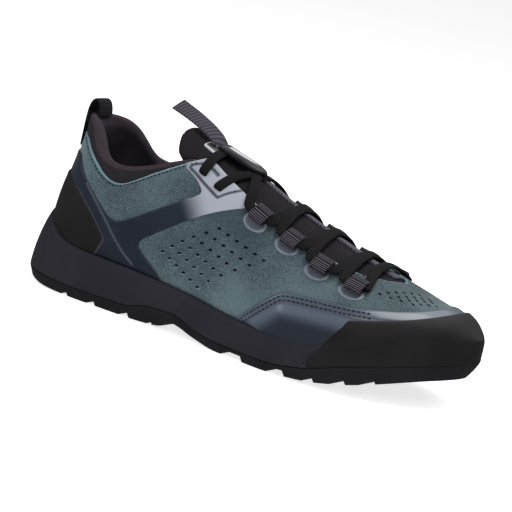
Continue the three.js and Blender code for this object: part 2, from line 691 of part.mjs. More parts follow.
/** Webbing loop folded round the lace. */
function laceLoop(row, hand) {
  const { at, across: reach } = roofPlace(hand < 0 ? row.at : row.inner, row.across, hand);
  const { along, aside, out } = roofFrame(at, reach, 0);
  const rounded = (path, length, height) => {
    const r = height / 2;
    const x = length / 2 - r;
    path.absarc(x, 0, r, -Math.PI / 2, Math.PI / 2, false);
    path.absarc(-x, 0, r, Math.PI / 2, (3 * Math.PI) / 2, false);
    path.closePath();
    return path;
  };
  const shape = rounded(new THREE.Shape(), loopLength, loopHeight);
  shape.holes.push(rounded(new THREE.Path(), loopLength - 2 * webbingThickness, loopHeight - 2 * webbingThickness));
  const geometry = new THREE.ExtrudeGeometry(shape, { depth: loopWidth, bevelEnabled: false, curveSegments: 2 });
  geometry.translate(0, 0, -loopWidth / 2);
  const basis = new THREE.Matrix4().makeBasis(aside, out, aside.clone().cross(out));
  basis.setPosition(overRoof(at, reach, laceHigh));
  geometry.applyMatrix4(basis);
  return solidOf(geometry);
}

/** Hole for a top eyelet. */
function eyeletHole(row, hand) {
  const { at, across: reach } = roofPlace(row.at, row.across, hand);
  const { out } = roofFrame(at, reach, 0);
  const geometry = new THREE.CylinderGeometry(eyeletBore / 2, eyeletBore / 2, 3 * upperWall + cutReach, 10);
  geometry.applyQuaternion(new THREE.Quaternion().setFromUnitVectors(new THREE.Vector3(0, 1, 0), out));
  geometry.translate(...roofPoint(at, reach, 0).toArray());
  return solidOf(geometry);
}

const hands = [-1, 1];
const loopReach = loopWidth / 2 + loopShoulder;
const loopHeight = laceThickness + laceSlack + 2 * webbingThickness;
const laceHigh = loopHeight / 2 + loopLift;
const loopPlace = (index, hand, side) => {
  const row = loopRows[index];
  const at = (hand < 0 ? row.at : row.inner) + (side * loopReach) / shoeLength;
  return roofPlace(at, row.across, hand);
};
const eyeletPlace = (index, hand) => roofPlace(eyeletRows[index].at, eyeletRows[index].across, hand);

// Lace: each half starts at a lower eyelet and zigzags through the loops. A bar joins the two.
function laceHalf(hand) {
  const places = [eyeletPlace(1, hand)];
  const lows = [];
  const steps = [];
  for (let i = 0; i < loopRows.length; i += 1) {
    const side = i % 2 === 0 ? -hand : hand;
    places.push(loopPlace(i, side, -1), loopPlace(i, side, 1));
    const over = i === 0 ? laceUnder + fitGap : laceOver;
    lows.push(side < 0 ? over : laceUnder, laceHigh);
    steps.push(5, 1);
  }
  return laceChain(places, lows, steps);
}
const laceBar = laceChain([loopPlace(3, -1, 1.22), loopPlace(3, 1, 1.22)], [laceOverVamp], [6], laceBarSag);
const laceSolid = laceHalf(-1).add(laceHalf(1)).add(laceBar);
const topLace = laceChain([eyeletPlace(0, -1), eyeletPlace(0, 1)], [laceUnder], [6]);
const eyeletHoles = hands.flatMap((hand) => eyeletRows.map((row) => eyeletHole(row, hand)));
const pierced = (solid) => eyeletHoles.reduce((body, hole) => body.subtract(hole), solid);

// Keeper badge over the top strands, and the pull tab behind it.
const badgeRows = [0, 0.3, 0.55, 0.75, 0.9, 1];
const badgeRings = badgeRows.map((share) => {
  const at = badgeAt + (share * badgeLength) / shoeLength;
  const half = (badgeWidth / 2) * Math.sqrt(Math.max(1 - (Math.max(share - 0.55, 0) / 0.5) ** 2, 0.05));
  const across = [-1, -0.5, 0, 0.5, 1].map((turn) => turn * half);
  const low = across.map((value) => overRoof(at, value, badgeLift).toArray());
  const high = across.map((value) => overRoof(at, value * 0.9, badgeLift + badgeThickness).toArray());
  return [...low, ...high.reverse()];
});
const badgeSolid = loft(badgeRings);

/** Strap in the plane of the ridge through points drawn from the side. */
function ridgeStrap(points, width, thickness, offset) {
  const path = new THREE.CatmullRomCurve3(points.map(([x, z]) => new THREE.Vector3(x, offset, z)), false, 'centripetal');
  const run = path.getSpacedPoints(2 * (points.length - 1));
  const normals = run.map((_, i) => {
    const tangent = path.getTangentAt(i / (run.length - 1));
    return new THREE.Vector3(-tangent.z, 0, tangent.x);
  });
  return strap(run, normals, width, thickness);
}
const tabRows = [
  { at: 0.362, rise: 0.995 },
  { at: 0.352, rise: 1.026 },
  { at: 0.32, rise: 1.08 },
  { at: 0.28, rise: 1.123 },
  { at: 0.239, rise: 1.157 },
];
const pullRows = [
  { at: 0.0475, rise: 0.785 },
  { at: 0.0475, rise: 0.87 },
  { at: 0.048, rise: 0.98 },
  { at: 0.0525, rise: 1.04 },
  { at: 0.061, rise: 1.062 },
  { at: 0.07, rise: 1.05 },
  { at: 0.075, rise: 1.012 },
];
const tabSolid = ridgeStrap(outlinePoints(tabRows), tabWidth, tabThickness, 1.5);
const pullSolid = ridgeStrap(outlinePoints(pullRows), pullLoopWidth, webbingThickness * 1.3, 0);

/** Closed mesh of a finished solid. */
function meshOf(solid, name, color, roughness) {
  const { numProp, vertProperties, triVerts } = solid.getMesh();
  const position = new Float32Array((vertProperties.length / numProp) * 3);
  for (let i = 0; i < position.length / 3; i += 1) {
    for (let k = 0; k < 3; k += 1) position[3 * i + k] = vertProperties[numProp * i + k];
  }
  const geometry = new THREE.BufferGeometry();
  geometry.setAttribute('position', new THREE.BufferAttribute(position, 3));
  geometry.setIndex(new THREE.BufferAttribute(new Uint32Array(triVerts), 1));
  const mesh = new THREE.Mesh(geometry, new THREE.MeshStandardMaterial({ color, roughness }));
  mesh.name = name;
  return mesh;
}

const group = new THREE.Group();
group.add(meshOf(pierced(upperShell), 'upper', '#55646b', 0.9));
group.add(meshOf(midsoleSolid, 'midsole', '#32313b', 0.75));
group.add(meshOf(outsoleSolid, 'outsole', '#272529', 0.8));
group.add(meshOf(insoleSolid, 'insole', '#2a282c', 0.95));
group.add(meshOf(randSolid, 'toe_rand', '#29282b', 0.75));
group.add(meshOf(counterSolid, 'heel_counter', '#2a282c', 0.75));
group.add(meshOf(pierced(frameSide(-wide, -halfGap)), 'frame_lateral', '#272f3c', 0.5));
group.add(meshOf(pierced(frameSide(halfGap, wide)), 'frame_medial', '#272f3c', 0.5));
group.add(meshOf(overlaySide(-wide, -halfGap), 'forefoot_overlay_lateral', '#272b39', 0.35));
group.add(meshOf(overlaySide(halfGap, wide), 'forefoot_overlay_medial', '#272b39', 0.35));
group.add(meshOf(collarSolid, 'collar', '#19171a', 0.95));
group.add(meshOf(tongueSolid, 'tongue', '#211f23', 0.95));
group.add(meshOf(laceSolid, 'lace', '#222024', 0.9));
group.add(meshOf(topLace, 'lace_top', '#222024', 0.9));
group.add(meshOf(badgeSolid, 'tongue_badge', '#2e2b30', 0.25));
group.add(meshOf(tabSolid, 'tongue_tab', '#57525c', 0.9));
group.add(meshOf(pullSolid, 'heel_loop', '#19161d', 0.9));
for (const hand of hands) {
  for (const row of loopRows) {
    const side = hand < 0 ? 'lateral' : 'medial';
    group.add(meshOf(laceLoop(row, hand), `lace_loop_${side}_${row.name}`, '#2e2a33', 0.9));
  }
}

group.updateMatrixWorld(true);
const extent = new THREE.Box3().setFromObject(group);
const shift = [-(extent.min.x + extent.max.x) / 2, -(extent.min.y + extent.max.y) / 2, -extent.min.z];
for (const mesh of group.children) mesh.geometry.translate(...shift);

export default group;
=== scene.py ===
import logging
import math
from dataclasses import dataclass
from enum import Enum
from typing import Callable, Optional, Sequence

import bmesh
import bpy
import numpy as np
from mathutils import Matrix, Vector

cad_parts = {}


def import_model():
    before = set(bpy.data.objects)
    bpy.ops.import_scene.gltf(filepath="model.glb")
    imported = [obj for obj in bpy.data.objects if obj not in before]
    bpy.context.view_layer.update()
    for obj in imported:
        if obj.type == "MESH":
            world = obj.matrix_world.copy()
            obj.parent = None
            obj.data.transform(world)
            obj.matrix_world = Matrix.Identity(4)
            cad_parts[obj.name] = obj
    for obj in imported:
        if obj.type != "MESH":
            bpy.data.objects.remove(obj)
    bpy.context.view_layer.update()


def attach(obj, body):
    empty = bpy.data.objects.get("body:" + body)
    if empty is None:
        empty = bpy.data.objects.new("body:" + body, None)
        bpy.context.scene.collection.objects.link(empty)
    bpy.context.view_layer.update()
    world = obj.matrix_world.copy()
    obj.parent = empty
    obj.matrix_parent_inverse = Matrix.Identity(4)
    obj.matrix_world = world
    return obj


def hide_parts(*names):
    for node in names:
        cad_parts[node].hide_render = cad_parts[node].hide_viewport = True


"""Approach shoe, right foot: camera, light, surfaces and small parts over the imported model.

Sizes are in millimetres while a form is worked out, with X from the heel to the toe, Y to the
inner side and Z up from the ground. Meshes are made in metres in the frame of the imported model.
"""

LOG = logging.getLogger("shoe")


@dataclass(frozen=True)
class Sizes:
    """Driving sizes of the shoe in millimetres."""

    length: float = 293.0
    ball: float = 104.0
    collar: float = 108.0
    crest: float = 130.0
    seat: float = 26.0
    wall: float = 1.8
    gap: float = 0.3
    pad: float = 5.0
    rand: float = 2.6
    counter: float = 1.6
    film: float = 0.7
    overlay: float = 1.2
    tongue_pad: float = 4.5
    lug: float = 3.2
    side_flare: float = 2.4
    heel_flare: float = 7.0
    toe_tuck: float = 6.0
    lace_width: float = 7.0
    lace_thick: float = 1.6
    loop_width: float = 10.5
    loop_length: float = 11.0
    webbing: float = 1.2
    shift_x: float = -146.5
    shift_y: float = -0.825


SIZE = Sizes()

LAST_COLUMNS = ("at", "seat", "crest", "outer", "inner", "ridge", "waist", "foot", "crown")
LAST_ROWS = (
    (0.0, 0.99, 0.98, 0.3, 0.3, 0, 0.14, 0.9, 2.2),
    (0.11, 0.98, 1.0, 0.322, 0.322, 0, 0.14, 0.92, 2.2),
    (0.211, 0.96, 0.96, 0.33, 0.318, 0, 0.15, 0.93, 2.2),
    (0.312, 0.918, 0.875, 0.34, 0.3, 0.005, 0.17, 0.93, 2.3),
    (0.393, 0.858, 0.806, 0.36, 0.285, 0.01, 0.19, 0.93, 2.3),
    (0.464, 0.797, 0.762, 0.385, 0.285, 0.018, 0.2, 0.93, 2.1),
    (0.565, 0.716, 0.673, 0.425, 0.34, 0.03, 0.22, 0.93, 1.9),
    (0.666, 0.686, 0.596, 0.45, 0.415, 0.045, 0.25, 0.94, 1.8),
    (0.767, 0.787, 0.527, 0.445, 0.465, 0.06, 0.27, 0.95, 1.85),
    (0.868, 0.98, 0.462, 0.395, 0.475, 0.08, 0.3, 0.96, 2.05),
    (0.95, 1.2, 0.405, 0.32, 0.475, 0.095, 0.32, 0.97, 2.3),
    (1.0, 1.35, 0.32, 0.27, 0.475, 0.105, 0.35, 0.97, 2.4),
)
SOLE_COLUMNS = ("at", "outer", "inner", "ground", "line", "bite")
SOLE_ROWS = (
    (0.0, 0.34, 0.34, 0.2, 0.33, 1.7),
    (0.02, 0.345, 0.345, 0.15, 0.32, 1.66),
    (0.04, 0.35, 0.35, 0.11, 0.31, 1.55),
    (0.08, 0.36, 0.36, 0.05, 0.28, 1.34),
    (0.141, 0.37, 0.368, 0.01, 0.25, 1.16),
    (0.191, 0.374, 0.366, 0, 0.24, 1.12),
    (0.292, 0.379, 0.335, 0, 0.26, 1.08),
    (0.353, 0.388, 0.315, 0.03, 0.42, 1.05),
    (0.389, 0.396, 0.31, 0.09, 0.444, 1.026),
    (0.399, 0.399, 0.308, 0.22, 0.451, 1.019),
    (0.413, 0.402, 0.306, 0.24, 0.46, 1.01),
    (0.474, 0.425, 0.312, 0.1, 0.28, 0.95),
    (0.535, 0.449, 0.35, 0, 0.2, 0.87),
    (0.646, 0.488, 0.445, 0, 0.2, 0.83),
    (0.737, 0.493, 0.5, 0.07, 0.35, 0.92),
    (0.807, 0.463, 0.51, 0.21, 0.6, 1.0),
    (0.878, 0.415, 0.51, 0.41, 0.81, 1.16),
    (0.95, 0.35, 0.51, 0.62, 1.03, 1.35),
    (1.0, 0.3, 0.51, 0.75, 1.18, 1.5),
)
LEAN_ROWS = (
    (0.0, 1.35), (0.22, 1.3), (0.34, 1.33), (0.47, 1.48), (0.55, 1.65),
    (0.64, 1.9), (0.73, 2.12), (0.85, 2.3), (1.0, 2.4), (1.3, 2.5),
)
THROAT_ROWS = (
    (0.3, 0.15), (0.36, 0.145), (0.383, 0.155), (0.427, 0.185), (0.454, 0.2), (0.5, 0.215),
    (0.56, 0.225), (0.657, 0.235), (0.72, 0.23), (0.76, 0.205), (0.79, 0.15), (0.81, 0.08),
    (0.82, 0.0),
)
TONGUE_ROWS = (
    (0.286, 0.04), (0.29, 0.1), (0.304, 0.155), (0.34, 0.19), (0.4, 0.21), (0.46, 0.235),
    (0.5, 0.25), (0.65, 0.265), (0.74, 0.255), (0.79, 0.21), (0.84, 0.1),
)

# Side outlines as (share of the length, share of the collar height).
SUEDE_EDGE = (
    (-0.05, 0.88), (0.05, 0.885), (0.09, 0.875), (0.109, 0.837), (0.149, 0.75), (0.17, 0.709),
    (0.192, 0.688), (0.214, 0.69), (0.235, 0.72), (0.29, 0.82), (0.338, 0.904), (0.364, 0.943),
    (0.4, 1.0),
)
COLLAR_RIM = (
    (-0.05, 1.0), (0.06, 1.0), (0.095, 0.985), (0.116, 0.946), (0.138, 0.87), (0.151, 0.833),
    (0.17, 0.803), (0.21, 0.795), (0.262, 0.84), (0.322, 0.92), (0.365, 0.97), (0.4, 1.02),
)
COUNTER = (
    (-0.05, 0.1), (-0.05, 0.65), (0.06, 0.655), (0.083, 0.65), (0.13, 0.584), (0.197, 0.416),
    (0.21, 0.378), (0.21, 0.347), (0.195, 0.27), (0.17, 0.1),
)
RAND = (
    (0.713, 0.02), (0.789, 0.385), (0.823, 0.407), (0.89, 0.452), (0.936, 0.495),
    (0.955, 0.525), (1.05, 0.56), (1.05, 0.02),
)
OVERLAY = (
    (0.51, 0.1), (0.557, 0.207), (0.588, 0.285), (0.634, 0.399), (0.65, 0.424), (0.663, 0.43),
    (0.705, 0.439), (0.806, 0.457), (0.863, 0.478), (0.903, 0.5), (0.93, 0.53), (0.99, 0.56),
    (0.99, 0.1),
)
FRAME = (
    (-0.05, 0.66), (-0.05, 0.76), (0.088, 0.775), (0.099, 0.745), (0.134, 0.65), (0.193, 0.52),
    (0.21, 0.49), (0.228, 0.484), (0.252, 0.512), (0.362, 0.708), (0.39, 0.75), (0.397, 0.775),
    (0.384, 0.811), (0.358, 0.852), (0.331, 0.88), (0.331, 1.2), (0.511, 1.2), (0.509, 0.8),
    (0.504, 0.773), (0.449, 0.713), (0.403, 0.643), (0.302, 0.45), (0.291, 0.424),
    (0.29, 0.396), (0.308, 0.357), (0.363, 0.258), (0.4, 0.1), (0.16, 0.1),
)

# Cross grooves of the sole as (place, width), both shares of the length.
GROOVES = (
    (0.148, 0.012), (0.215, 0.018), (0.297, 0.021), (0.361, 0.008), (0.574, 0.05), (0.68, 0.037),
    (0.752, 0.02), (0.81, 0.024), (0.864, 0.024),
)

# Lace loops as (place outside, place inside, share of the ball width from the ridge), and the
# eyelets behind them as (place, share of the ball width).
LOOPS = (
    (0.534, 0.534, 0.26), (0.616, 0.614, 0.276), (0.698, 0.69, 0.315), (0.781, 0.764, 0.33),
)
EYELETS = ((0.383, 0.233), (0.427, 0.256))


class Side(Enum):
    """Side of the shoe, with the sign of its Y."""

    OUTER = -1
    INNER = 1

    @property
    def word(self) -> str:
        """The side's word in node names."""
        return "lateral" if self is Side.OUTER else "medial"


class Weave(Enum):
    """Surface pattern of a finish."""

    NONE = "none"
    NAP = "nap"
    MESH = "mesh"
    TWILL = "twill"
    RIB = "rib"
    LACE = "lace"
    CLOTH = "cloth"
    GRAIN = "grain"


Curve = Callable[[np.ndarray], np.ndarray]


def curve_of(xs: Sequence[float], ys: Sequence[float]) -> Curve:
    """Monotone cubic curve through a table's rows.

    Args:
        xs: Places of the rows.
        ys: Values of one column.

    Returns:
        A function of an array of places.
    """
    x = np.asarray(xs, float)
    y = np.asarray(ys, float)
    step = np.diff(x)
    rate = np.diff(y) / step
    slope = np.empty_like(y)
    slope[0], slope[-1] = rate[0], rate[-1]
    for i in range(1, len(y) - 1):
        if rate[i - 1] * rate[i] <= 0:
            slope[i] = 0.0
            continue
        left = 2 * step[i] + step[i - 1]
        right = step[i] + 2 * step[i - 1]
        slope[i] = (left + right) / (left / rate[i - 1] + right / rate[i])

    def value(at: np.ndarray) -> np.ndarray:
        """Height of the curve at each place."""
        place = np.clip(at, x[0], x[-1])
        i = np.clip(np.searchsorted(x, place, side="right") - 1, 0, len(step) - 1)
        t = (place - x[i]) / step[i]
        rise = y[i + 1] - y[i]
        bend = (slope[i] * (1 - t) - slope[i + 1] * t) * step[i] - rise * (1 - 2 * t)
        return y[i] + rise * t + t * (1 - t) * bend

    return value


def columns(names: Sequence[str], rows: Sequence[Sequence[float]]) -> dict[str, Curve]:
    """One curve for each named column of a table."""
    table = np.asarray(rows, float)
    return {name: curve_of(table[:, 0], table[:, i]) for i, name in enumerate(names) if i}


def fade(at: np.ndarray, start: float, end: float) -> np.ndarray:
    """Falls smoothly from one to nothing between two places."""
    t = np.clip((np.asarray(at, float) - start) / (end - start), 0, 1)
    return 1 - t * t * (3 - 2 * t)


def outline(rows: Sequence[Sequence[float]], rounds: int = 2, closed: bool = True) -> np.ndarray:
    """Side outline in millimetres with its corners cut smooth."""
    points = np.asarray(rows, float) * (SIZE.length, SIZE.collar)
    for _ in range(rounds):
        after = np.roll(points, -1, axis=0) if closed else points[1:]
        before = points if closed else points[:-1]
        cut = np.stack([before * 0.75 + after * 0.25, before * 0.25 + after * 0.75], axis=1)
        ends = cut.reshape(-1, 2)
        points = ends if closed else np.vstack([points[:1], ends, points[-1:]])
    return points


def line_distance(line: np.ndarray, points: np.ndarray, closed: bool = False) -> np.ndarray:
    """Distance from points to a polyline, both as side coordinates."""
    best = np.full(len(points), 1e9)
    count = len(line) if closed else len(line) - 1
    for i in range(count):
        a = line[i]
        span = line[(i + 1) % len(line)] - a
        t = np.clip(((points - a) @ span) / max(span @ span, 1e-9), 0, 1)
        best = np.minimum(best, np.linalg.norm(points - a - t[:, None] * span, axis=1))
    return best


def area_distance(line: np.ndarray, points: np.ndarray) -> np.ndarray:
    """Signed distance to a closed outline, negative inside."""
    inside = np.zeros(len(points), bool)
    for a, b in zip(line, np.roll(line, -1, axis=0)):
        cross = (a[1] > points[:, 1]) != (b[1] > points[:, 1])
        if cross.any() and a[1] != b[1]:
            x = a[0] + (points[:, 1] - a[1]) / (b[1] - a[1]) * (b[0] - a[0])
            inside ^= cross & (points[:, 0] < x)
    distance = line_distance(line, points, closed=True)
    return np.where(inside, -distance, distance)


class Last:
    """The last and the sole as functions of their tables."""

    LOW = 0.2
    SKIRT = 0.07
    HEEL_ROUND = (0.13, 2.3)
    TOE_ROUND = (0.22, 2.05)
    LEAN_END = 0.22

    def __init__(self) -> None:
        """Reads the tables into curves."""
        self.last = columns(LAST_COLUMNS, LAST_ROWS)
        self.sole = columns(SOLE_COLUMNS, SOLE_ROWS)
        self.lean = columns(("at", "lean"), LEAN_ROWS)["lean"]
        self.throat = columns(("at", "half"), THROAT_ROWS)["half"]
        self.tongue = columns(("at", "half"), TONGUE_ROWS)["half"]
        self.toe_centre = LAST_ROWS[-1][5] * SIZE.ball
        self.front = SIZE.length - SIZE.rand

    def rounded(self, at: np.ndarray, side: np.ndarray) -> np.ndarray:
        """Rounds a half outline to a closed heel and toe."""
        (back, heel_power), (front, toe_power) = self.HEEL_ROUND, self.TOE_ROUND
        heel = np.clip((back - at) / back, 0, 1)
        toe = np.clip((at - (1 - front)) / front, 0, 1)
        heel_share = (1 - heel**heel_power) ** (1 / heel_power)
        toe_share = (1 - toe**toe_power) ** (1 / toe_power)
        return (self.toe_centre + (side - self.toe_centre) * toe_share) * heel_share

    def x_of(self, at: np.ndarray, z: np.ndarray, growth: np.ndarray) -> np.ndarray:
        """Place along the shoe of a point of the last, with the lean of the heel."""
        lean = self.lean(z / SIZE.collar) * SIZE.heel_flare * fade(at, 0, self.LEAN_END)
        return at * self.front + growth * (2 * at - 1) + lean

    def section(self, at: np.ndarray, hand: np.ndarray, growth: np.ndarray) -> tuple:
        """Side, ridge, seat and crest of the last."""
        half = np.where(hand < 0, -self.last["outer"](at), self.last["inner"](at)) * SIZE.ball
        side = self.rounded(at, half + hand * growth)
        mid = self.rounded(at, self.last["ridge"](at) * SIZE.ball)
        seat = self.last["seat"](at) * SIZE.seat
        crest = self.last["crest"](at) * SIZE.crest + growth
        return side, mid, seat, crest

    def point(self, at: np.ndarray, turn: np.ndarray, growth: np.ndarray) -> np.ndarray:
        """Points of the grown last.

        Args:
            at: Share of the length.
            turn: From -1 at the outer foot over 0 at the ridge to 1 at the inner foot.
            growth: Millimetres outside the last.

        Returns:
            Millimetre points, one row each.
        """
        at, turn, growth = np.broadcast_arrays(*(np.asarray(v, float) for v in (at, turn, growth)))
        hand = np.where(turn < 0, -1.0, 1.0)
        up = 1 - np.abs(turn)
        side, mid, seat, crest = self.section(at, hand, growth)
        waist, foot, crown = (self.last[name](at) for name in ("waist", "foot", "crown"))
        share = np.clip(up / self.LOW, 0, 1)
        angle = np.clip((up - self.LOW) / (1 - self.LOW), 0, 1) * math.pi / 2
        low = up < self.LOW
        high = waist + (1 - waist) * np.sin(angle) ** (2 / crown)
        height = np.where(low, waist * share, high)
        width = np.where(low, 1 - (1 - foot) * (1 - share) ** 2, np.cos(angle) ** (2 / crown))
        z = seat + height * (crest - seat)
        return np.stack([self.x_of(at, z, growth), mid + (side - mid) * width, z], axis=-1)

    def skirt(self, at: np.ndarray, turn: np.ndarray, growth: np.ndarray) -> np.ndarray:
        """Points of the rand form: straight sides below the waist of the last."""
        at, turn, growth = np.broadcast_arrays(*(np.asarray(v, float) for v in (at, turn, growth)))
        hand = np.where(turn < 0, -1.0, 1.0)
        up = 1 - np.abs(turn)
        points = self.point(at, turn, growth)
        waist = self.point(at, hand * (1 - self.LOW), growth)
        line = self.sole["line"](at) * SIZE.seat
        seat = self.last["seat"](at) * SIZE.seat
        half = np.where(hand < 0, -self.sole["outer"](at), self.sole["inner"](at)) * SIZE.ball
        inset = growth - SIZE.rand
        below = np.clip(up / self.SKIRT, 0, 1)
        above = np.clip((up - self.SKIRT) / (self.LOW - self.SKIRT), 0, 1)
        base = self.rounded(at, half + hand * (inset - SIZE.side_flare * 0.5 * below))
        y = base + (waist[..., 1] - base) * above**1.6
        z = line + (seat - line) * below + (waist[..., 2] - seat) * above
        low = up < self.LOW
        points[..., 0] = np.where(low, self.x_of(at, z, growth), points[..., 0])
        points[..., 1] = np.where(low, y, points[..., 1])
        points[..., 2] = np.where(low, z, points[..., 2])
        return points

    def side_share(self, at: np.ndarray, hand: np.ndarray) -> np.ndarray:
        """Half width of a side over that of the outer side."""
        last = self.last
        inner = (last["inner"](at) - last["ridge"](at)) / (last["outer"](at) + last["ridge"](at))
        return np.where(np.asarray(hand) < 0, 1.0, inner)

    def off_ridge(self, points: np.ndarray) -> np.ndarray:
        """Millimetres across from the ridge, negative on the outer side."""
        return points[:, 1] - self.last["ridge"](points[:, 0] / SIZE.length) * SIZE.ball

    def plan_distance(self, half: Curve, rows: Sequence, points: np.ndarray) -> np.ndarray:
        """Signed distance to a plan shape round the ridge, negative inside."""
        at = points[:, 0] / SIZE.length
        off = self.off_ridge(points)
        width = half(at) * self.side_share(at, np.sign(off)) * SIZE.ball
        ends = np.maximum(rows[0][0] - at, at - rows[-1][0]) * SIZE.length
        return np.maximum(np.abs(off) - width, ends)

    def locate(self, x: np.ndarray, z: np.ndarray, side: Side, growth: float = 0.0) -> tuple:
        """Surface place of side coordinates given as shares of the length and collar height."""
        x = np.atleast_1d(np.asarray(x, float)) * SIZE.length
        z = np.atleast_1d(np.asarray(z, float)) * SIZE.collar
        at = x / self.front
        for _ in range(8):
            at = np.clip(at + (x - self.x_of(at, z, growth)) / self.front, 0.0, 1.0)
        turns = np.linspace(1, 0, 240) * side.value
        grid = self.point(at[:, None], turns[None, :], growth)[..., 2]
        turn = np.array([np.interp(v, row, turns) for v, row in zip(z, grid)])
        return at, turn

    def locate_plan(self, x: np.ndarray, y: np.ndarray, growth: float = 0.0) -> tuple:
        """Surface place of plan coordinates: share of the length, and millimetres across."""
        at = np.atleast_1d(np.asarray(x, float)) * SIZE.length / self.front
        turns = np.linspace(-0.8, 0.8, 320)
        grid = self.point(at[:, None], turns[None, :], growth)[..., 1]
        turn = np.array([np.interp(v, row, turns) for v, row in zip(np.atleast_1d(y), grid)])
        return at, turn

    def axes(self, at: np.ndarray, turn: np.ndarray) -> tuple:
        """Unit directions on the surface: along, across and outwards."""
        turn = np.asarray(turn, float)
        at = np.asarray(at, float)
        along = self.point(at + 0.004, turn, 0) - self.point(at - 0.004, turn, 0)
        hop = 0.006
        near = np.where(np.abs(turn) < hop, hop, turn)
        across = self.point(at, near + hop, 0) - self.point(at, near - hop, 0)
        along /= np.linalg.norm(along, axis=-1, keepdims=True)
        out = np.cross(along, across)
        out /= np.linalg.norm(out, axis=-1, keepdims=True)
        return along, np.cross(out, along), out


LAST = Last()


def in_frame(points: np.ndarray) -> np.ndarray:
    """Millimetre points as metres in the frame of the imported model."""
    return (np.asarray(points, float) + (SIZE.shift_x, SIZE.shift_y, 0)) / 1000


def tube_faces(count: int, size: int) -> list[tuple]:
    """Faces of a closed tube through rings of points, with both ends."""
    faces = []
    for k in range(count - 1):
        for i in range(size):
            j = (i + 1) % size
            faces.append((k * size + i, k * size + j, (k + 1) * size + j, (k + 1) * size + i))
    faces.append(tuple(range(size))[::-1])
    faces.append(tuple((count - 1) * size + i for i in range(size)))
    return faces


def link(
    name: str, points: np.ndarray, faces: Sequence, kinds: Sequence[int] = ()
) -> bpy.types.Object:
    """Object with a mesh from points in metres, faces and their material numbers."""
    mesh = bpy.data.meshes.new(name)
    mesh.from_pydata([tuple(p) for p in points], [], [tuple(int(i) for i in f) for f in faces])
    if len(kinds):
        mesh.polygons.foreach_set("material_index", kinds)
    mesh.validate()
    mesh.update()
    mesh.polygons.foreach_set("use_smooth", [True] * len(mesh.polygons))
    item = bpy.data.objects.new(name, mesh)
    bpy.context.scene.collection.objects.link(item)
    return item


def label(item: bpy.types.Object, name: str, values: np.ndarray) -> None:
    """Stores one value a point."""
    layer = item.data.attributes.new(name, "FLOAT", "POINT")
    layer.data.foreach_set("value", np.asarray(values, np.float32))


def millimetres(item: bpy.types.Object) -> np.ndarray:
    """Points of a piece in the shoe's own millimetres."""
    flat = np.empty(len(item.data.vertices) * 3, np.float32)
    item.data.vertices.foreach_get("co", flat)
    return flat.reshape(-1, 3) * 1000 - (SIZE.shift_x, SIZE.shift_y, 0)


def settle(
    item: bpy.types.Object, nodes: Sequence[str] = (), merge: float = 1e-5
) -> None:
    """Welds a piece, turns its faces outwards and enters it in the frame."""
    work = bmesh.new()
    work.from_mesh(item.data)
    bmesh.ops.remove_doubles(work, verts=work.verts, dist=merge)
    bmesh.ops.recalc_face_normals(work, faces=work.faces)
    work.to_mesh(item.data)
    work.free()
    item.data.update()
    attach(item, "root")
    if nodes:
        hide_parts(*nodes)
    LOG.info("piece %s: %d faces", item.name, len(item.data.polygons))


def cut_grid(field: np.ndarray, at: np.ndarray, turn: np.ndarray) -> tuple:
    """Keeps the part of a grid where a field is negative.

    Args:
        field: Field values at the grid's points.
        at: Places along the grid.
        turn: Places across the grid.

    Returns:
        Places along, places across, field values and triangles of the kept part.
    """
    rows, cols = field.shape
    flat = field.ravel()
    ats, turns = (v.ravel() for v in np.meshgrid(at, turn, indexing="ij"))
    index = np.arange(rows * cols).reshape(rows, cols)
    a, b, c, d = index[:-1, :-1], index[1:, :-1], index[1:, 1:], index[:-1, 1:]
    faces = np.concatenate([np.stack([a, b, c], -1), np.stack([a, c, d], -1)]).reshape(-1, 3)
    inside = flat < 0
    held = inside[faces].sum(axis=1)
    kept = [tuple(face) for face in faces[held == 3]]
    extra: list[tuple[float, float, float]] = []
    seen: dict[tuple[int, int], int] = {}

    def crossing(i: int, j: int) -> int:
        """Number of the point where the field is nothing between two points."""
        key = (min(i, j), max(i, j))
        if key not in seen:
            share = flat[i] / (flat[i] - flat[j])
            place = (ats[i] + share * (ats[j] - ats[i]), turns[i] + share * (turns[j] - turns[i]), 0.0)
            seen[key] = len(flat) + len(extra)
            extra.append(place)
        return seen[key]

    for face in faces[(held > 0) & (held < 3)]:
        ring = []
        for i, j in zip(face, np.roll(face, -1)):
            if inside[i]:
                ring.append(int(i))
            if inside[i] != inside[j]:
                ring.append(crossing(int(i), int(j)))
        kept.extend((ring[0], ring[k], ring[k + 1]) for k in range(1, len(ring) - 1))
    more = np.array(extra) if extra else np.zeros((0, 3))
    ats = np.concatenate([ats, more[:, 0]])
    turns = np.concatenate([turns, more[:, 1]])
    flat = np.concatenate([flat, more[:, 2]])
    used, renamed = np.unique(np.array(kept), return_inverse=True)
    return ats[used], turns[used], flat[used], renamed.reshape(-1, 3)


Region = Callable[[np.ndarray], np.ndarray]
Relief = Callable[[np.ndarray, np.ndarray], np.ndarray]


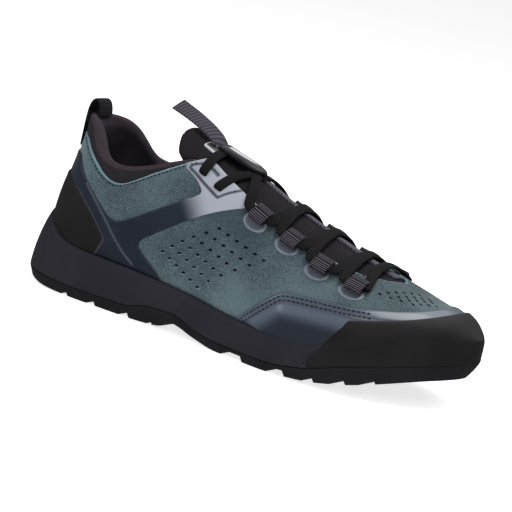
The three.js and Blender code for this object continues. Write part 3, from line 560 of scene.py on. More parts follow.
@dataclass
class Shell:
    """Closed piece between two growths of the last inside a region.

    Attributes:
        name: Name of the piece.
        region: Signed field of millimetre points, negative inside.
        outer: Outer growth from the points and their field.
        inner: Inner growth from the points and their field.
        span: First and last share of the length.
        turns: First and last turn.
        counts: Grid cells along and across.
        surface: Function that gives the points of the form.
    """

    name: str
    region: Region
    outer: Relief
    inner: Relief
    span: tuple[float, float] = (0.0, 1.0)
    turns: tuple[float, float] = (-1.0, 1.0)
    counts: tuple[int, int] = (200, 120)
    surface: Callable = LAST.point

    def build(self) -> bpy.types.Object:
        """Makes the closed mesh, with its edge distance as an attribute."""
        start, end = (math.acos(1 - 2 * share) for share in self.span)
        at = (1 - np.cos(np.linspace(start, end, self.counts[0] + 1))) / 2
        turn = np.linspace(*self.turns, self.counts[1] + 1)
        grid = self.surface(at[:, None], turn[None, :], 0.0)
        field = self.region(grid.reshape(-1, 3)).reshape(grid.shape[:2])
        ats, turns, edge, faces = cut_grid(field, at, turn)
        rest = self.surface(ats, turns, 0.0)
        edge = np.minimum(self.region(rest), 0)
        top = in_frame(self.surface(ats, turns, self.outer(rest, edge)))
        bottom = in_frame(self.surface(ats, turns, self.inner(rest, edge)))
        keys = np.round(in_frame(rest) * 2e5).astype(np.int64)
        _, first, same = np.unique(keys, axis=0, return_index=True, return_inverse=True)
        faces = first[same.ravel()][faces]
        a, b, c = faces.T
        faces = faces[(a != b) & (b != c) & (a != c)]
        edges = np.concatenate([faces[:, [0, 1]], faces[:, [1, 2]], faces[:, [2, 0]]])
        order = np.sort(edges, axis=1)
        _, where, times = np.unique(order, axis=0, return_index=True, return_counts=True)
        rim = edges[where[times == 1]]
        count = len(ats)
        walls = [(b, a, a + count, b + count) for a, b in rim]
        under = [(a + count, c + count, b + count) for a, b, c in faces]
        kinds = [0] * len(faces) + [1] * len(under) + [2] * len(walls)
        item = link(self.name, np.vstack([top, bottom]), [*map(tuple, faces), *under, *walls], kinds)
        label(item, "inset", np.concatenate([-edge, -edge]))
        return item


def rounded_edge(thick: float, radius: float, base: float = 0.0) -> Relief:
    """Growth of a layer whose edge rolls down to its base over a radius."""

    def growth(_: np.ndarray, edge: np.ndarray) -> np.ndarray:
        """Growth from the distance to the edge."""
        t = np.clip(-edge / radius, 0, 1)
        return base + (thick - base) * (0.35 + 0.65 * np.sqrt(1 - (1 - t) ** 2))

    return growth


def level(value: float) -> Relief:
    """The same growth everywhere."""
    return lambda points, edge: np.full(len(points), value)


def inside(line: np.ndarray) -> Region:
    """Region inside a closed side outline."""
    return lambda points: area_distance(line, points[:, [0, 2]])


def above_edge(rows: Sequence, points: np.ndarray, lift: float = 0.0) -> np.ndarray:
    """Signed height over a side edge line: negative above it."""
    line = np.vstack([outline(rows, 2, closed=False), [(0.4 * SIZE.length, 400.0), (-20.0, 400.0)]])
    line[:, 1] += lift
    return area_distance(line, points[:, [0, 2]])


class Wire:
    """Shader value that takes part in Python arithmetic."""

    def __init__(self, graph: "Graph", socket: bpy.types.NodeSocket) -> None:
        """Keeps the graph and the socket."""
        self.graph = graph
        self.socket = socket

    def maths(self, operation: str, *others: object) -> "Wire":
        """One maths node on this value and others."""
        node = self.graph.tree.nodes.new("ShaderNodeMath")
        node.operation = operation
        for i, value in enumerate((self, *others)):
            self.graph.feed(node.inputs[i], value)
        return Wire(self.graph, node.outputs[0])

    def __add__(self, other: object) -> "Wire":
        """Sum."""
        return self.maths("ADD", other)

    def __sub__(self, other: object) -> "Wire":
        """Difference."""
        return self.maths("SUBTRACT", other)

    def __mul__(self, other: object) -> "Wire":
        """Product."""
        return self.maths("MULTIPLY", other)

    def __pow__(self, other: object) -> "Wire":
        """Power."""
        return self.maths("POWER", other)

    def sine(self) -> "Wire":
        """Sine."""
        return self.maths("SINE")

    def size(self) -> "Wire":
        """Absolute value."""
        return self.maths("ABSOLUTE")

    def ramp(self, start: float, end: float) -> "Wire":
        """Rises smoothly from nothing at start to one at end."""
        node = self.graph.tree.nodes.new("ShaderNodeMapRange")
        node.interpolation_type = "SMOOTHSTEP"
        for i, value in enumerate((self, start, end, 0.0, 1.0)):
            self.graph.feed(node.inputs[i], value)
        return Wire(self.graph, node.outputs[0])


def linear(colour: Sequence[float]) -> tuple[float, float, float, float]:
    """Screen colour from 0 to 255 as a linear one."""
    shares = [value / 255 for value in colour]
    return (*((c / 12.92 if c <= 0.04045 else ((c + 0.055) / 1.055) ** 2.4) for c in shares), 1.0)


class Graph:
    """Node tree of one material."""

    def __init__(self, name: str) -> None:
        """Makes a material with its main shader."""
        self.material = bpy.data.materials.new(name)
        self.material.use_nodes = True
        self.tree = self.material.node_tree
        self.shader = self.tree.nodes["Principled BSDF"]

    def feed(self, socket: bpy.types.NodeSocket, value: object) -> None:
        """Links a wire or sets a constant."""
        if isinstance(value, Wire):
            self.tree.links.new(value.socket, socket)
        else:
            socket.default_value = value

    def add(self, kind: str, inputs: dict, output: int | str = 0, **settings: object) -> Wire:
        """Any other node, by its kind, inputs and settings."""
        node = self.tree.nodes.new(kind)
        for key, value in settings.items():
            setattr(node, key, value)
        for key, value in inputs.items():
            self.feed(node.inputs[key], value)
        return Wire(self, node.outputs[output])

    def place(self) -> Wire:
        """Object coordinates."""
        return self.add("ShaderNodeTexCoord", {}, "Object")

    def parts(self, vector: Wire) -> tuple[Wire, Wire, Wire]:
        """X, Y and Z of a vector."""
        node = self.tree.nodes.new("ShaderNodeSeparateXYZ")
        self.feed(node.inputs[0], vector)
        return tuple(Wire(self, node.outputs[i]) for i in range(3))

    def noise(self, scale: float, detail: float = 3.0, vector: Optional[Wire] = None) -> Wire:
        """Noise over the object, scale in features a metre."""
        inputs = {"Vector": vector or self.place(), "Scale": scale, "Detail": detail}
        return self.add("ShaderNodeTexNoise", inputs, "Fac")

    def attribute(self, name: str) -> Wire:
        """A mesh attribute."""
        return self.add("ShaderNodeAttribute", {}, "Fac", attribute_name=name)

    def blend(self, factor: Wire, first: object, second: object) -> Wire:
        """Mix of two colours."""
        node = self.tree.nodes.new("ShaderNodeMix")
        node.data_type = "RGBA"
        for key, value in ((0, factor), (6, first), (7, second)):
            self.feed(node.inputs[key], value)
        return Wire(self, node.outputs[2])

    def bump(self, height: Wire, depth: float) -> None:
        """Bump from a height, depth in metres."""
        inputs = {"Height": height, "Strength": 1.0, "Distance": depth}
        self.feed(self.shader.inputs["Normal"], self.add("ShaderNodeBump", inputs, "Normal"))


@dataclass(frozen=True)
class Finish:
    """Look of one material.

    Attributes:
        name: Name of the material.
        colour: Middle colour, 0 to 255.
        shade: Second colour for its mottling.
        rough: Roughness.
        coat: Weight of the clear coat.
        weave: Surface pattern.
        scale: Pattern repeats a metre.
        depth: Height of the pattern in metres.
        sheen: Weight of the sheen of short fibres.
        band: Second colour along an attribute: its name, start, end and colour. On the keeper badge and the
            forefoot overlay it is a painted highlight.
        fall: Third colour further along, in the same form.
        marks: Colour of debossed lines.
        gloss: Level of the mirror reflection.
    """

    name: str
    colour: tuple[int, int, int]
    shade: tuple[int, int, int]
    rough: float
    coat: float = 0.0
    weave: Weave = Weave.NONE
    scale: float = 500.0
    depth: float = 0.0001
    sheen: float = 0.0
    band: tuple = ()
    fall: tuple = ()
    marks: tuple = ()
    gloss: float = 0.2

    TURN = 6.283
    HOLLOW = 0.15

    def banded(self, graph: Graph, colour: Wire, mottle: Wire) -> Wire:
        """Colour with a second colour along a band.

        The band is (attribute, start, end, colour), or ("slope", start, end, colour) for one that
        runs up and along the shoe.
        """
        if not self.band:
            return colour
        source, start, end, other = self.band
        if source == "slope":
            x, _, z = graph.parts(graph.place())
            value = x + z * 0.9 + (graph.noise(30, 2) - 0.5) * 0.006
        else:
            value = graph.attribute(source)
        if self.weave is Weave.MESH:
            dark = linear([v * self.HOLLOW for v in other])
            other_colour = graph.blend(mottle.ramp(0.2, 0.8), dark, linear(other))
        else:
            other_colour = linear(other)
        colour = graph.blend(value.ramp(start, end), colour, other_colour)
        if self.fall:
            source, start, end, deep = self.fall
            colour = graph.blend(graph.attribute(source).ramp(start, end), colour, linear(deep))
        if self.marks:
            colour = graph.blend(graph.attribute("mark").ramp(0.1, 0.9), colour, linear(self.marks))
        return colour

    def pattern(self, graph: Graph) -> tuple[Wire, Wire]:
        """Height and mottle of the pattern."""
        x, y, z = graph.parts(graph.place())
        fine = graph.noise(self.scale * (1.5 if self.weave is Weave.NAP else 3), 2)
        broad = graph.noise(38, 4)
        if self.weave is Weave.MESH:
            u = ((x + z * 0.6 + y * 0.8) * (self.scale * self.TURN)).sine()
            v = ((x - z * 0.6 - y * 0.8) * (self.scale * self.TURN)).sine()
            height = (u * v).size().ramp(0.0, 0.6)
            return height, height
        if self.weave is Weave.LACE:
            run, side = graph.attribute("run"), graph.attribute("side")
            u = ((run + side.size() * 0.9) * (self.scale * self.TURN)).sine()
            v = (side * (self.scale * 1.3 * self.TURN)).sine()
            height = u * 0.45 + v * 0.2 + fine * 0.35 + 0.2
            return height, height
        if self.weave is Weave.RIB:
            rib = graph.attribute("rib")
            return rib + fine * 0.3, (rib**2) * 0.9 + fine * 0.2 - 0.1
        if self.weave is Weave.TWILL:
            step = 0.5
            u = ((x + (z - y) * step) * (self.scale * self.TURN)).sine()
            v = ((x * 0.4 - (z - y) * 2.2) * (self.scale * 4.0)).sine()
            height = u * 0.5 + v * 0.35 + fine * 0.4 + 0.3
            return height, u * 0.35 + 0.45 + broad * 0.2
        if self.weave is Weave.CLOTH:
            u = (x * (self.scale * self.TURN)).sine()
            v = ((z + y) * (self.scale * self.TURN)).sine()
            return u * 0.4 + v * 0.4 + fine * 0.3, broad
        if self.weave is Weave.NAP:
            clumps = graph.noise(self.scale * 0.28, 5)
            wide = graph.noise(14, 2)
            tint = wide * 0.62 + broad * 0.22 + clumps * 0.12 + fine * 0.6 - 0.28
            return fine * 0.9 + clumps * 0.5, tint
        return fine, broad

    def build(self) -> bpy.types.Material:
        """Makes the material."""
        graph = Graph(self.name)
        shader = graph.shader
        height, mottle = self.pattern(graph)
        open_weave = self.weave in (Weave.MESH, Weave.TWILL, Weave.LACE)
        low, high = (0.2, 0.8) if open_weave else (0.35, 0.65)
        colour = graph.blend(mottle.ramp(low, high), linear(self.shade), linear(self.colour))
        graph.feed(shader.inputs["Base Color"], self.banded(graph, colour, mottle))
        rough = graph.noise(60, 4) * 0.16 + (self.rough - 0.08)
        graph.feed(shader.inputs["Roughness"], rough)
        shader.inputs["Coat Weight"].default_value = self.coat
        shader.inputs["Coat Roughness"].default_value = 0.18
        shader.inputs["Sheen Weight"].default_value = self.sheen
        shader.inputs["Specular IOR Level"].default_value = self.gloss
        graph.bump(height, self.depth)
        return graph.material


SUEDE = Finish(
    "suede", (88, 106, 110), (50, 64, 71), 0.92, weave=Weave.NAP, scale=900, depth=0.0003, sheen=0.12,
    band=("inset", 1.5, 0.7, (116, 146, 157)),
)
SUEDE_CUT = Finish(
    "suede_cut", (104, 132, 142), (86, 112, 122), 0.9, weave=Weave.NAP, scale=900, depth=0.0001,
)
RUBBER = Finish(
    "rand_rubber", (29, 27, 29), (24, 23, 25), 0.62, weave=Weave.GRAIN, scale=500, depth=0.00005,
    band=("inset", 0.8, 0.2, (62, 60, 64)),
)
SOLE_RUBBER = Finish(
    "sole_rubber", (28, 26, 30), (23, 22, 25), 0.62, weave=Weave.GRAIN, scale=420, depth=0.00006,
)
FOAM = Finish("foam", (38, 37, 46), (34, 33, 42), 0.58, weave=Weave.GRAIN, scale=600, depth=0.00004)
LINING = Finish("lining", (52, 45, 54), (34, 29, 35), 0.95, weave=Weave.GRAIN, scale=500, depth=0.0001)
TONGUE = Finish("tongue_mesh", (40, 37, 42), (5, 4, 6), 0.9, weave=Weave.MESH, scale=300, depth=0.0003)
LACE = Finish("lace_weave", (27, 25, 28), (9, 8, 10), 0.92, weave=Weave.LACE, scale=800, depth=0.00025)
WEBBING = Finish("webbing", (96, 90, 103), (12, 11, 14), 0.85, weave=Weave.RIB, scale=900, depth=0.0001)
TWILL = Finish("tab_twill", (80, 75, 85), (50, 47, 54), 0.9, weave=Weave.TWILL, scale=560, depth=0.0002)
# Keeper badge: near-black gloss with a painted reflection, a white streak along its middle more than about 5
# mm in from its edge.
BADGE = Finish(
    "badge_gloss", (16, 14, 18), (12, 11, 14), 0.36, 0.1, Weave.GRAIN, 500, 0.00001,
    band=("inset", 4.3, 5.6, (196, 198, 206)), gloss=0.15,
)
SILVER = Finish(
    "silver_film", (128, 133, 144), (110, 115, 126), 0.4, weave=Weave.GRAIN, scale=900, depth=0.00003,
    band=("inset", 0.8, 1.6, (84, 92, 102)), gloss=0.4,
)
THREAD = Finish("thread", (30, 50, 62), (20, 36, 46), 0.7, weave=Weave.GRAIN, scale=900, depth=0.00005)
THREAD_DARK = Finish(
    "thread_dark", (20, 36, 48), (12, 24, 34), 0.7, weave=Weave.GRAIN, scale=900, depth=0.00005,
)
# Near-black of the perforations: painted shade inside holes that are not cut.
HOLE = Finish("hole_painted_shade", (6, 6, 8), (4, 4, 6), 0.95)
HOLE_RIM = Finish("hole_rim", (112, 130, 136), (96, 114, 120), 0.9)
PURPLE = Finish("twill_stripe", (96, 91, 102), (66, 62, 72), 0.85, weave=Weave.TWILL, scale=560, depth=0.0001)
INSOLE = Finish("insole_cloth", (34, 32, 36), (26, 24, 28), 0.95, weave=Weave.CLOTH, scale=500, depth=0.0001)
FILM_FADE = Finish(
    "film", (27, 35, 48), (23, 30, 42), 0.4, 0.1, Weave.GRAIN, 900, 0.00003,
    band=("slope", 0.024, 0.05, (158, 162, 174)), marks=(66, 70, 82), gloss=0.3,
)
# Forefoot overlay film. Up to about 6 mm under its top seam it is light: partly the rim's own grey, partly a
# painted highlight. That painted highlight fades into the film's own navy between 6.4 and 16.5 mm.
GLOSS_RIM_PAINTED_HIGHLIGHT = Finish(
    "gloss_film", (76, 84, 98), (64, 72, 86), 0.36, 0.4, Weave.GRAIN, 700, 0.00002,
    band=("seam", 5.2, 6.2, (78, 87, 104)), fall=("seam", 6.4, 16.5, (26, 33, 48)), gloss=0.45,
)
COLLAR_LIP = Finish(
    "collar_mesh", (68, 58, 66), (48, 41, 48), 0.9, 0.0, Weave.MESH, 380, 0.0003,
    band=("rim", 3.6, 4.2, (52, 49, 54)),
)
FLAP = Finish(
    "flap_gloss", (205, 205, 212), (190, 190, 200), 0.3, 0.3, Weave.GRAIN, 500, 0.00001,
    band=("inset", 0.9, 1.3, (24, 22, 26)),
)
HEEL_TAPE = Finish("heel_webbing", (40, 36, 44), (16, 14, 18), 0.9, 0.0, Weave.RIB, 520, 0.0002)


class Stock:
    """Materials made once for each finish."""

    made: dict[str, bpy.types.Material] = {}

    @classmethod
    def of(cls, finish: Finish) -> bpy.types.Material:
        """The material of a finish."""
        if finish.name not in cls.made:
            cls.made[finish.name] = finish.build()
        return cls.made[finish.name]


def wear(item: bpy.types.Object, *finishes: Finish) -> None:
    """Gives a piece its materials: outside, inside and edge."""
    kinds = np.zeros(len(item.data.polygons), np.int32)
    if len(finishes) > 1:
        item.data.polygons.foreach_get("material_index", kinds)
    item.data.materials.clear()
    for finish in finishes:
        item.data.materials.append(Stock.of(finish))
    item.data.polygons.foreach_set("material_index", kinds)


class Studio:
    """Camera at the photo's angle, pale floor and soft light."""

    AZIMUTH, ELEVATION, ROLL = 27.5, 10.6, 13.0
    DISTANCE = 1.641
    LENS = 195.5
    TARGET = (150.7, 0.0, 45.0)
    OFF_CENTRE = (5.8, 14.2)
    PICTURE = 512
    FLOOR = 6.0
    WORLD = 0.17
    LIGHTS = (
        ("key", (0.3, 0.1, 1.35), (1.1, 0.7), 15),
        ("front", (0.5, -1.5, 0.9), (0.9, 0.6), 6),
        ("rear", (-1.0, -0.6, 0.8), (0.6, 0.6), 3),
        ("top", (0.1, 0.7, 0.8), (1.4, 0.6), 4),
    )

    def camera(self) -> None:
        """Places the camera."""
        a, e, t = (math.radians(v) for v in (self.AZIMUTH, self.ELEVATION, self.ROLL))
        toward = Vector((math.sin(a) * math.cos(e), -math.cos(a) * math.cos(e), math.sin(e)))
        right = Vector((math.cos(a), math.sin(a), 0))
        up = toward.cross(right)
        turned_right = right * math.cos(t) + up * math.sin(t)
        turned_up = up * math.cos(t) - right * math.sin(t)
        data = bpy.data.cameras.new("camera")
        data.lens = self.LENS
        data.sensor_width = 36.0
        data.shift_x = -self.OFF_CENTRE[0] / self.PICTURE
        data.shift_y = self.OFF_CENTRE[1] / self.PICTURE
        data.clip_end = 50
        item = bpy.data.objects.new("camera", data)
        bpy.context.scene.collection.objects.link(item)
        basis = Matrix((turned_right, turned_up, toward)).transposed().to_4x4()
        place = Vector(in_frame(np.array(self.TARGET))) + toward * self.DISTANCE
        item.matrix_world = Matrix.Translation(place) @ basis
        bpy.context.scene.camera = item

    def area(self, name: str, place: tuple, size: tuple, watts: float) -> None:
        """One soft light aimed at the shoe."""
        data = bpy.data.lights.new(name, "AREA")
        data.shape = "RECTANGLE"
        data.size, data.size_y = size
        data.energy = watts
        item = bpy.data.objects.new(name, data)
        bpy.context.scene.collection.objects.link(item)
        item.location = place
        toward = Vector((0, 0, 0.05)) - Vector(place)
        item.rotation_euler = toward.to_track_quat("-Z", "Y").to_euler()

    def sky(self) -> None:
        """White round the shoe, dimmer as a light than as a background."""
        world = bpy.data.worlds.new("world")
        world.use_nodes = True
        tree = world.node_tree
        background = tree.nodes["Background"]
        background.inputs[0].default_value = (1, 1, 1, 1)
        seen = tree.nodes.new("ShaderNodeLightPath")
        level_node = tree.nodes.new("ShaderNodeMapRange")
        level_node.inputs["To Min"].default_value = self.WORLD
        level_node.inputs["To Max"].default_value = 1.0
        tree.links.new(seen.outputs["Is Camera Ray"], level_node.inputs["Value"])
        tree.links.new(level_node.outputs[0], background.inputs[1])
        bpy.context.scene.world = world

    def build(self) -> None:
        """Makes the camera, the floor and the lights."""
        self.camera()
        corners = np.array([(-1, -1, 0), (1, -1, 0), (1, 1, 0), (-1, 1, 0)]) * self.FLOOR
        floor = link("floor", corners, [(0, 1, 2, 3)])
        finish = bpy.data.materials.new("floor")
        finish.use_nodes = True
        shader = finish.node_tree.nodes["Principled BSDF"]
        shader.inputs["Base Color"].default_value = (0.86, 0.86, 0.86, 1)
        shader.inputs["Roughness"].default_value = 0.9
        shader.inputs["Specular IOR Level"].default_value = 0.1
        shader.inputs["Emission Color"].default_value = (1, 1, 1, 1)
        shader.inputs["Emission Strength"].default_value = 0.76
        floor.data.materials.append(finish)
        floor.visible_glossy = False
        for light in self.LIGHTS:
            self.area(*light)
        self.sky()
        bpy.context.scene.view_settings.view_transform = "Standard"


def strip_distance(
    points: np.ndarray, at: float, across: float, size: tuple[float, float, float]
) -> np.ndarray:
    """Signed distance to an oval on the roof.

    Args:
        points: Millimetre points.
        at: Share of the length of its centre.
        across: Millimetres from the ridge to its centre, negative on the outer side.
        size: Half sizes along, across and outwards.

    Returns:
        A field that is negative inside.
    """
    centre, along, aside, out = roof(at, across, 0.0)
    rest = points - centre
    shares = [(rest @ way) / reach for way, reach in zip((along, aside, out), size)]
    return (np.sqrt(sum(share**2 for share in shares)) - 1) * min(size)


def roof(at: float, across: float, height: float) -> tuple:
    """Point over the roof with its directions along, across and outwards."""
    x = at * LAST.front / SIZE.length
    places, turns = LAST.locate_plan(x, across + LAST.last["ridge"](at) * SIZE.ball)
    along, aside, out = (v[0] for v in LAST.axes(places, turns))
    return LAST.point(places, turns, 0.0)[0] + out * height, along, aside, out


TAPER = 4.5
RIB_STEP = 0.0013


def sweep(
    name: str, points: np.ndarray, normals: np.ndarray, width: float, thick: float,
    bulge: float = 0.5, narrow: tuple = (1.0, 1.0),
) -> bpy.types.Object:
    """Flat tape with a rounded section along a run of points.

    Args:
        name: Name of the piece.
        points: Millimetre points of its middle.
        normals: Directions of its flat face.
        width: Width of the tape.
        thick: Its thickness.
        bulge: Exponent of the section, smaller for squarer edges.
        narrow: Shares of the width at the first and the last point.

    Returns:
        The closed piece.
    """
    tangent = np.gradient(points, axis=0)
    tangent /= np.linalg.norm(tangent, axis=1, keepdims=True)
    side = np.cross(tangent, normals)
    side /= np.linalg.norm(side, axis=1, keepdims=True)
    up = np.cross(side, tangent)
    turn = np.linspace(0, 2 * math.pi, 16, endpoint=False)
    a = np.sign(np.cos(turn)) * np.abs(np.cos(turn)) ** bulge * width / 2
    b = np.sign(np.sin(turn)) * np.abs(np.sin(turn)) ** 0.8 * thick / 2
    steps = np.linalg.norm(np.diff(points, axis=0), axis=1)
    run = np.concatenate([[0], np.cumsum(steps)])
    taper = np.ones(len(run))
    for share, away in zip(narrow, (run, run[-1] - run)):
        taper = taper - (1 - share) * np.exp(-((away / TAPER) ** 2))
    wide = (side * taper[:, None])[:, None] * a[None, :, None]
    rings = points[:, None] + wide + up[:, None] * b[None, :, None]
    count, size = rings.shape[:2]
    item = link(name, in_frame(rings.reshape(-1, 3)), tube_faces(count, size))
    run = run / 1000
    label(item, "run", np.repeat(run, size))
    label(item, "side", np.tile(a / 1000, count))
    label(item, "rib", np.repeat(np.sin(run * 2 * math.pi / RIB_STEP) * 0.5 + 0.5, size))
    return item


def soften(points: np.ndarray, rounds: int = 2) -> np.ndarray:
    """Cuts the corners of an open run of points or directions."""
    for _ in range(rounds):
        before, after = points[:-1], points[1:]
        cut = np.stack([before * 0.75 + after * 0.25, before * 0.25 + after * 0.75], axis=1)
        points = np.vstack([points[:1], cut.reshape(-1, points.shape[1]), points[-1:]])
    return points


@dataclass
class Repeats:
    """Small rounded solids repeated by Geometry Nodes.

    Attributes:
        name: Name of the piece.
        size: Length, width and height of one, in millimetres.
        finish: Its finish.
        seed: Seed of their small differences.
    """

    name: str
    size: tuple[float, float, float]
    finish: Finish
    seed: int = 7

    VARY = (0.92, 1.08)

    def tree(self) -> bpy.types.NodeTree:
        """Node tree with named inputs that ends in realised, dressed copies."""
        tree = bpy.data.node_groups.new(self.name, "GeometryNodeTree")
        tree.interface.new_socket("Geometry", in_out="INPUT", socket_type="NodeSocketGeometry")
        tree.interface.new_socket("Size", in_out="INPUT", socket_type="NodeSocketVector")
        tree.interface.new_socket("Seed", in_out="INPUT", socket_type="NodeSocketInt")
        tree.interface.new_socket("Finish", in_out="INPUT", socket_type="NodeSocketMaterial")
        tree.interface.new_socket("Geometry", in_out="OUTPUT", socket_type="NodeSocketGeometry")
        nodes, join = tree.nodes, tree.links.new
        given, result = nodes.new("NodeGroupInput"), nodes.new("NodeGroupOutput")
        ball = nodes.new("GeometryNodeMeshUVSphere")
        for key, value in (("Segments", 8), ("Rings", 6), ("Radius", 0.5)):
            ball.inputs[key].default_value = value
        turn = nodes.new("FunctionNodeAxesToRotation")
        turn.primary_axis, turn.secondary_axis = "Z", "X"
        for i, name in enumerate(("out", "along")):
            field = nodes.new("GeometryNodeInputNamedAttribute")
            field.data_type = "FLOAT_VECTOR"
            field.inputs["Name"].default_value = name
            join(field.outputs["Attribute"], turn.inputs[i])
        vary = nodes.new("FunctionNodeRandomValue")
        vary.data_type = "FLOAT"
        for key, value in zip(("Min", "Max"), self.VARY):
            next(v for v in vary.inputs if v.name == key and v.type == "VALUE").default_value = value
        join(given.outputs["Seed"], vary.inputs["Seed"])
        grow = nodes.new("ShaderNodeVectorMath")
        grow.operation = "SCALE"
        join(given.outputs["Size"], grow.inputs[0])
        join(next(v for v in vary.outputs if v.type == "VALUE"), grow.inputs["Scale"])
        copies = nodes.new("GeometryNodeInstanceOnPoints")
        join(given.outputs["Geometry"], copies.inputs["Points"])
        join(ball.outputs["Mesh"], copies.inputs["Instance"])
        join(turn.outputs[0], copies.inputs["Rotation"])
        join(grow.outputs[0], copies.inputs["Scale"])
        smooth = nodes.new("GeometryNodeSetShadeSmooth")
        real, dress = nodes.new("GeometryNodeRealizeInstances"), nodes.new("GeometryNodeSetMaterial")
        join(copies.outputs[0], real.inputs[0])
        join(real.outputs[0], smooth.inputs[0])
        join(smooth.outputs[0], dress.inputs["Geometry"])
        join(given.outputs["Finish"], dress.inputs["Material"])
        join(dress.outputs[0], result.inputs[0])
        return tree

    def build(self, points: np.ndarray, along: np.ndarray, out: np.ndarray, slot: str) -> None:
        """Makes the copies at the given places."""
        base = link(f"{self.name}_places", in_frame(points), [])
        for name, values in (("along", along), ("out", out)):
            layer = base.data.attributes.new(name, "FLOAT_VECTOR", "POINT")
            layer.data.foreach_set("vector", np.asarray(values, np.float32).ravel())
        tree = self.tree()
        modifier = base.modifiers.new("repeats", "NODES")
        modifier.node_group = tree
        size = [v / 1000 for v in self.size]
        values = {"Size": size, "Seed": self.seed, "Finish": Stock.of(self.finish)}
        for socket in tree.interface.items_tree:
            if socket.item_type == "SOCKET" and socket.in_out == "INPUT" and socket.name in values:
                modifier[socket.identifier] = values[socket.name]
        seen = base.evaluated_get(bpy.context.evaluated_depsgraph_get())
        mesh = bpy.data.meshes.new_from_object(seen)
        base.modifiers.remove(modifier)
        bpy.data.objects.remove(base)
        mesh.name = self.name
        item = bpy.data.objects.new(self.name, mesh)
        bpy.context.scene.collection.objects.link(item)
        settle(item, merge=1e-7)


def spaced(points: np.ndarray, step: float) -> np.ndarray:
    """Numbers of the points at even distances along a dense run."""
    lengths = np.concatenate([[0], np.cumsum(np.linalg.norm(np.diff(points, axis=0), axis=1))])
    return np.searchsorted(lengths, np.arange(step / 2, lengths[-1], step))


def side_run(rows: Sequence, side: Side, inset: float, step: float, height: float) -> tuple:
    """Places along a line drawn from the side.

    Args:
        rows: Shares of the length and the collar height.
        side: Side of the shoe.
        inset: Millimetres to its right, seen along it.
        step: Distance between places.
        height: Millimetres above the last.

    Returns:
        Points, directions along the line and outward directions.
    """
    line = outline(rows, 3, closed=False)
    tangent = np.gradient(line, axis=0)
    tangent /= np.linalg.norm(tangent, axis=1, keepdims=True)
    line = line + inset * np.stack([tangent[:, 1], -tangent[:, 0]], -1)
    share = np.linspace(0, 1, 500)
    own = np.linspace(0, 1, len(line))
    dense = np.stack([np.interp(share, own, line[:, k]) for k in (0, 1)], -1)
    places, turns = LAST.locate(dense[:, 0] / SIZE.length, dense[:, 1] / SIZE.collar, side)
    points = LAST.point(places, turns, height)
    pick = spaced(points, step)
    along = np.gradient(points, axis=0)[pick]
    along /= np.linalg.norm(along, axis=1, keepdims=True)
    return points[pick], along, LAST.axes(places[pick], turns[pick])[2]


def plan_run(rows: Sequence, hand: int, step: float, height: float) -> tuple:
    """Places along a line drawn from above: shares of the length, share of the ball width."""
    at = np.linspace(rows[0][0], rows[-1][0], 400)
    share = np.interp(at, *np.array(rows).T)
    across = (LAST.last["ridge"](at) + hand * share * LAST.side_share(at, hand)) * SIZE.ball
    places, turns = LAST.locate_plan(at * LAST.front / SIZE.length, across)
    points = LAST.point(places, turns, height)
    pick = spaced(points, step)
    along = np.gradient(points, axis=0)[pick]
    along /= np.linalg.norm(along, axis=1, keepdims=True)
    return points[pick], along, LAST.axes(places[pick], turns[pick])[2]


@dataclass(frozen=True)
class Crease:
    """Soft trough or ridge on the upper, drawn from the side."""

    line: tuple
    depth: float
    width: float

    def growth(self, points: np.ndarray) -> np.ndarray:
        """Its share of the surface growth."""
        line = outline(self.line, 2, closed=False)
        distance = line_distance(line, points[:, [0, 2]])
        return -self.depth * np.exp(-((distance / self.width) ** 2))


CREASES = (
    Crease(((0.62, 0.5), (0.64, 0.42), (0.67, 0.34)), 0.5, 5.0),
    Crease(((0.7, 0.56), (0.715, 0.5), (0.73, 0.46)), 0.45, 4.0),
    Crease(((0.56, 0.6), (0.575, 0.5), (0.6, 0.4), (0.6, 0.3)), 0.4, 6.0),
    Crease(((0.17, 0.64), (0.22, 0.6), (0.28, 0.66)), 0.4, 4.0),
    Crease(((0.4, 0.5), (0.47, 0.42), (0.52, 0.3)), -0.4, 9.0),
    Crease(((0.29, 0.76), (0.33, 0.72), (0.37, 0.74)), -0.3, 5.0),
)


class Upper:
    """Suede shell with its lining, open at the collar and the throat."""

    EDGE_ROUND = 0.9
    EDGE_DROP = 0.5

    def field(self, points: np.ndarray) -> np.ndarray:
        """Negative on the suede."""
        below = -above_edge(SUEDE_EDGE, points)
        slot = -LAST.plan_distance(LAST.throat, THROAT_ROWS, points)
        slot = np.where(points[:, 2] < 0.4 * SIZE.collar, -100.0, slot)
        return np.maximum(below, slot)

    def relief(self, points: np.ndarray, edge: np.ndarray) -> np.ndarray:
        """Outer growth: rolled edges and creases."""
        t = np.clip(-edge / self.EDGE_ROUND, 0, 1)
        roll = -self.EDGE_DROP * (1 - np.sqrt(1 - (1 - t) ** 2))
        return roll + sum(crease.growth(points) for crease in CREASES)

    def build(self) -> None:
        """Makes the shell."""
        shell = Shell(
            "upper_suede", self.field, self.relief, level(-SIZE.wall),
            turns=(-0.97, 0.97), counts=(260, 150),
        )
        item = shell.build()
        wear(item, SUEDE, LINING, SUEDE_CUT)
        settle(item, ("upper",))


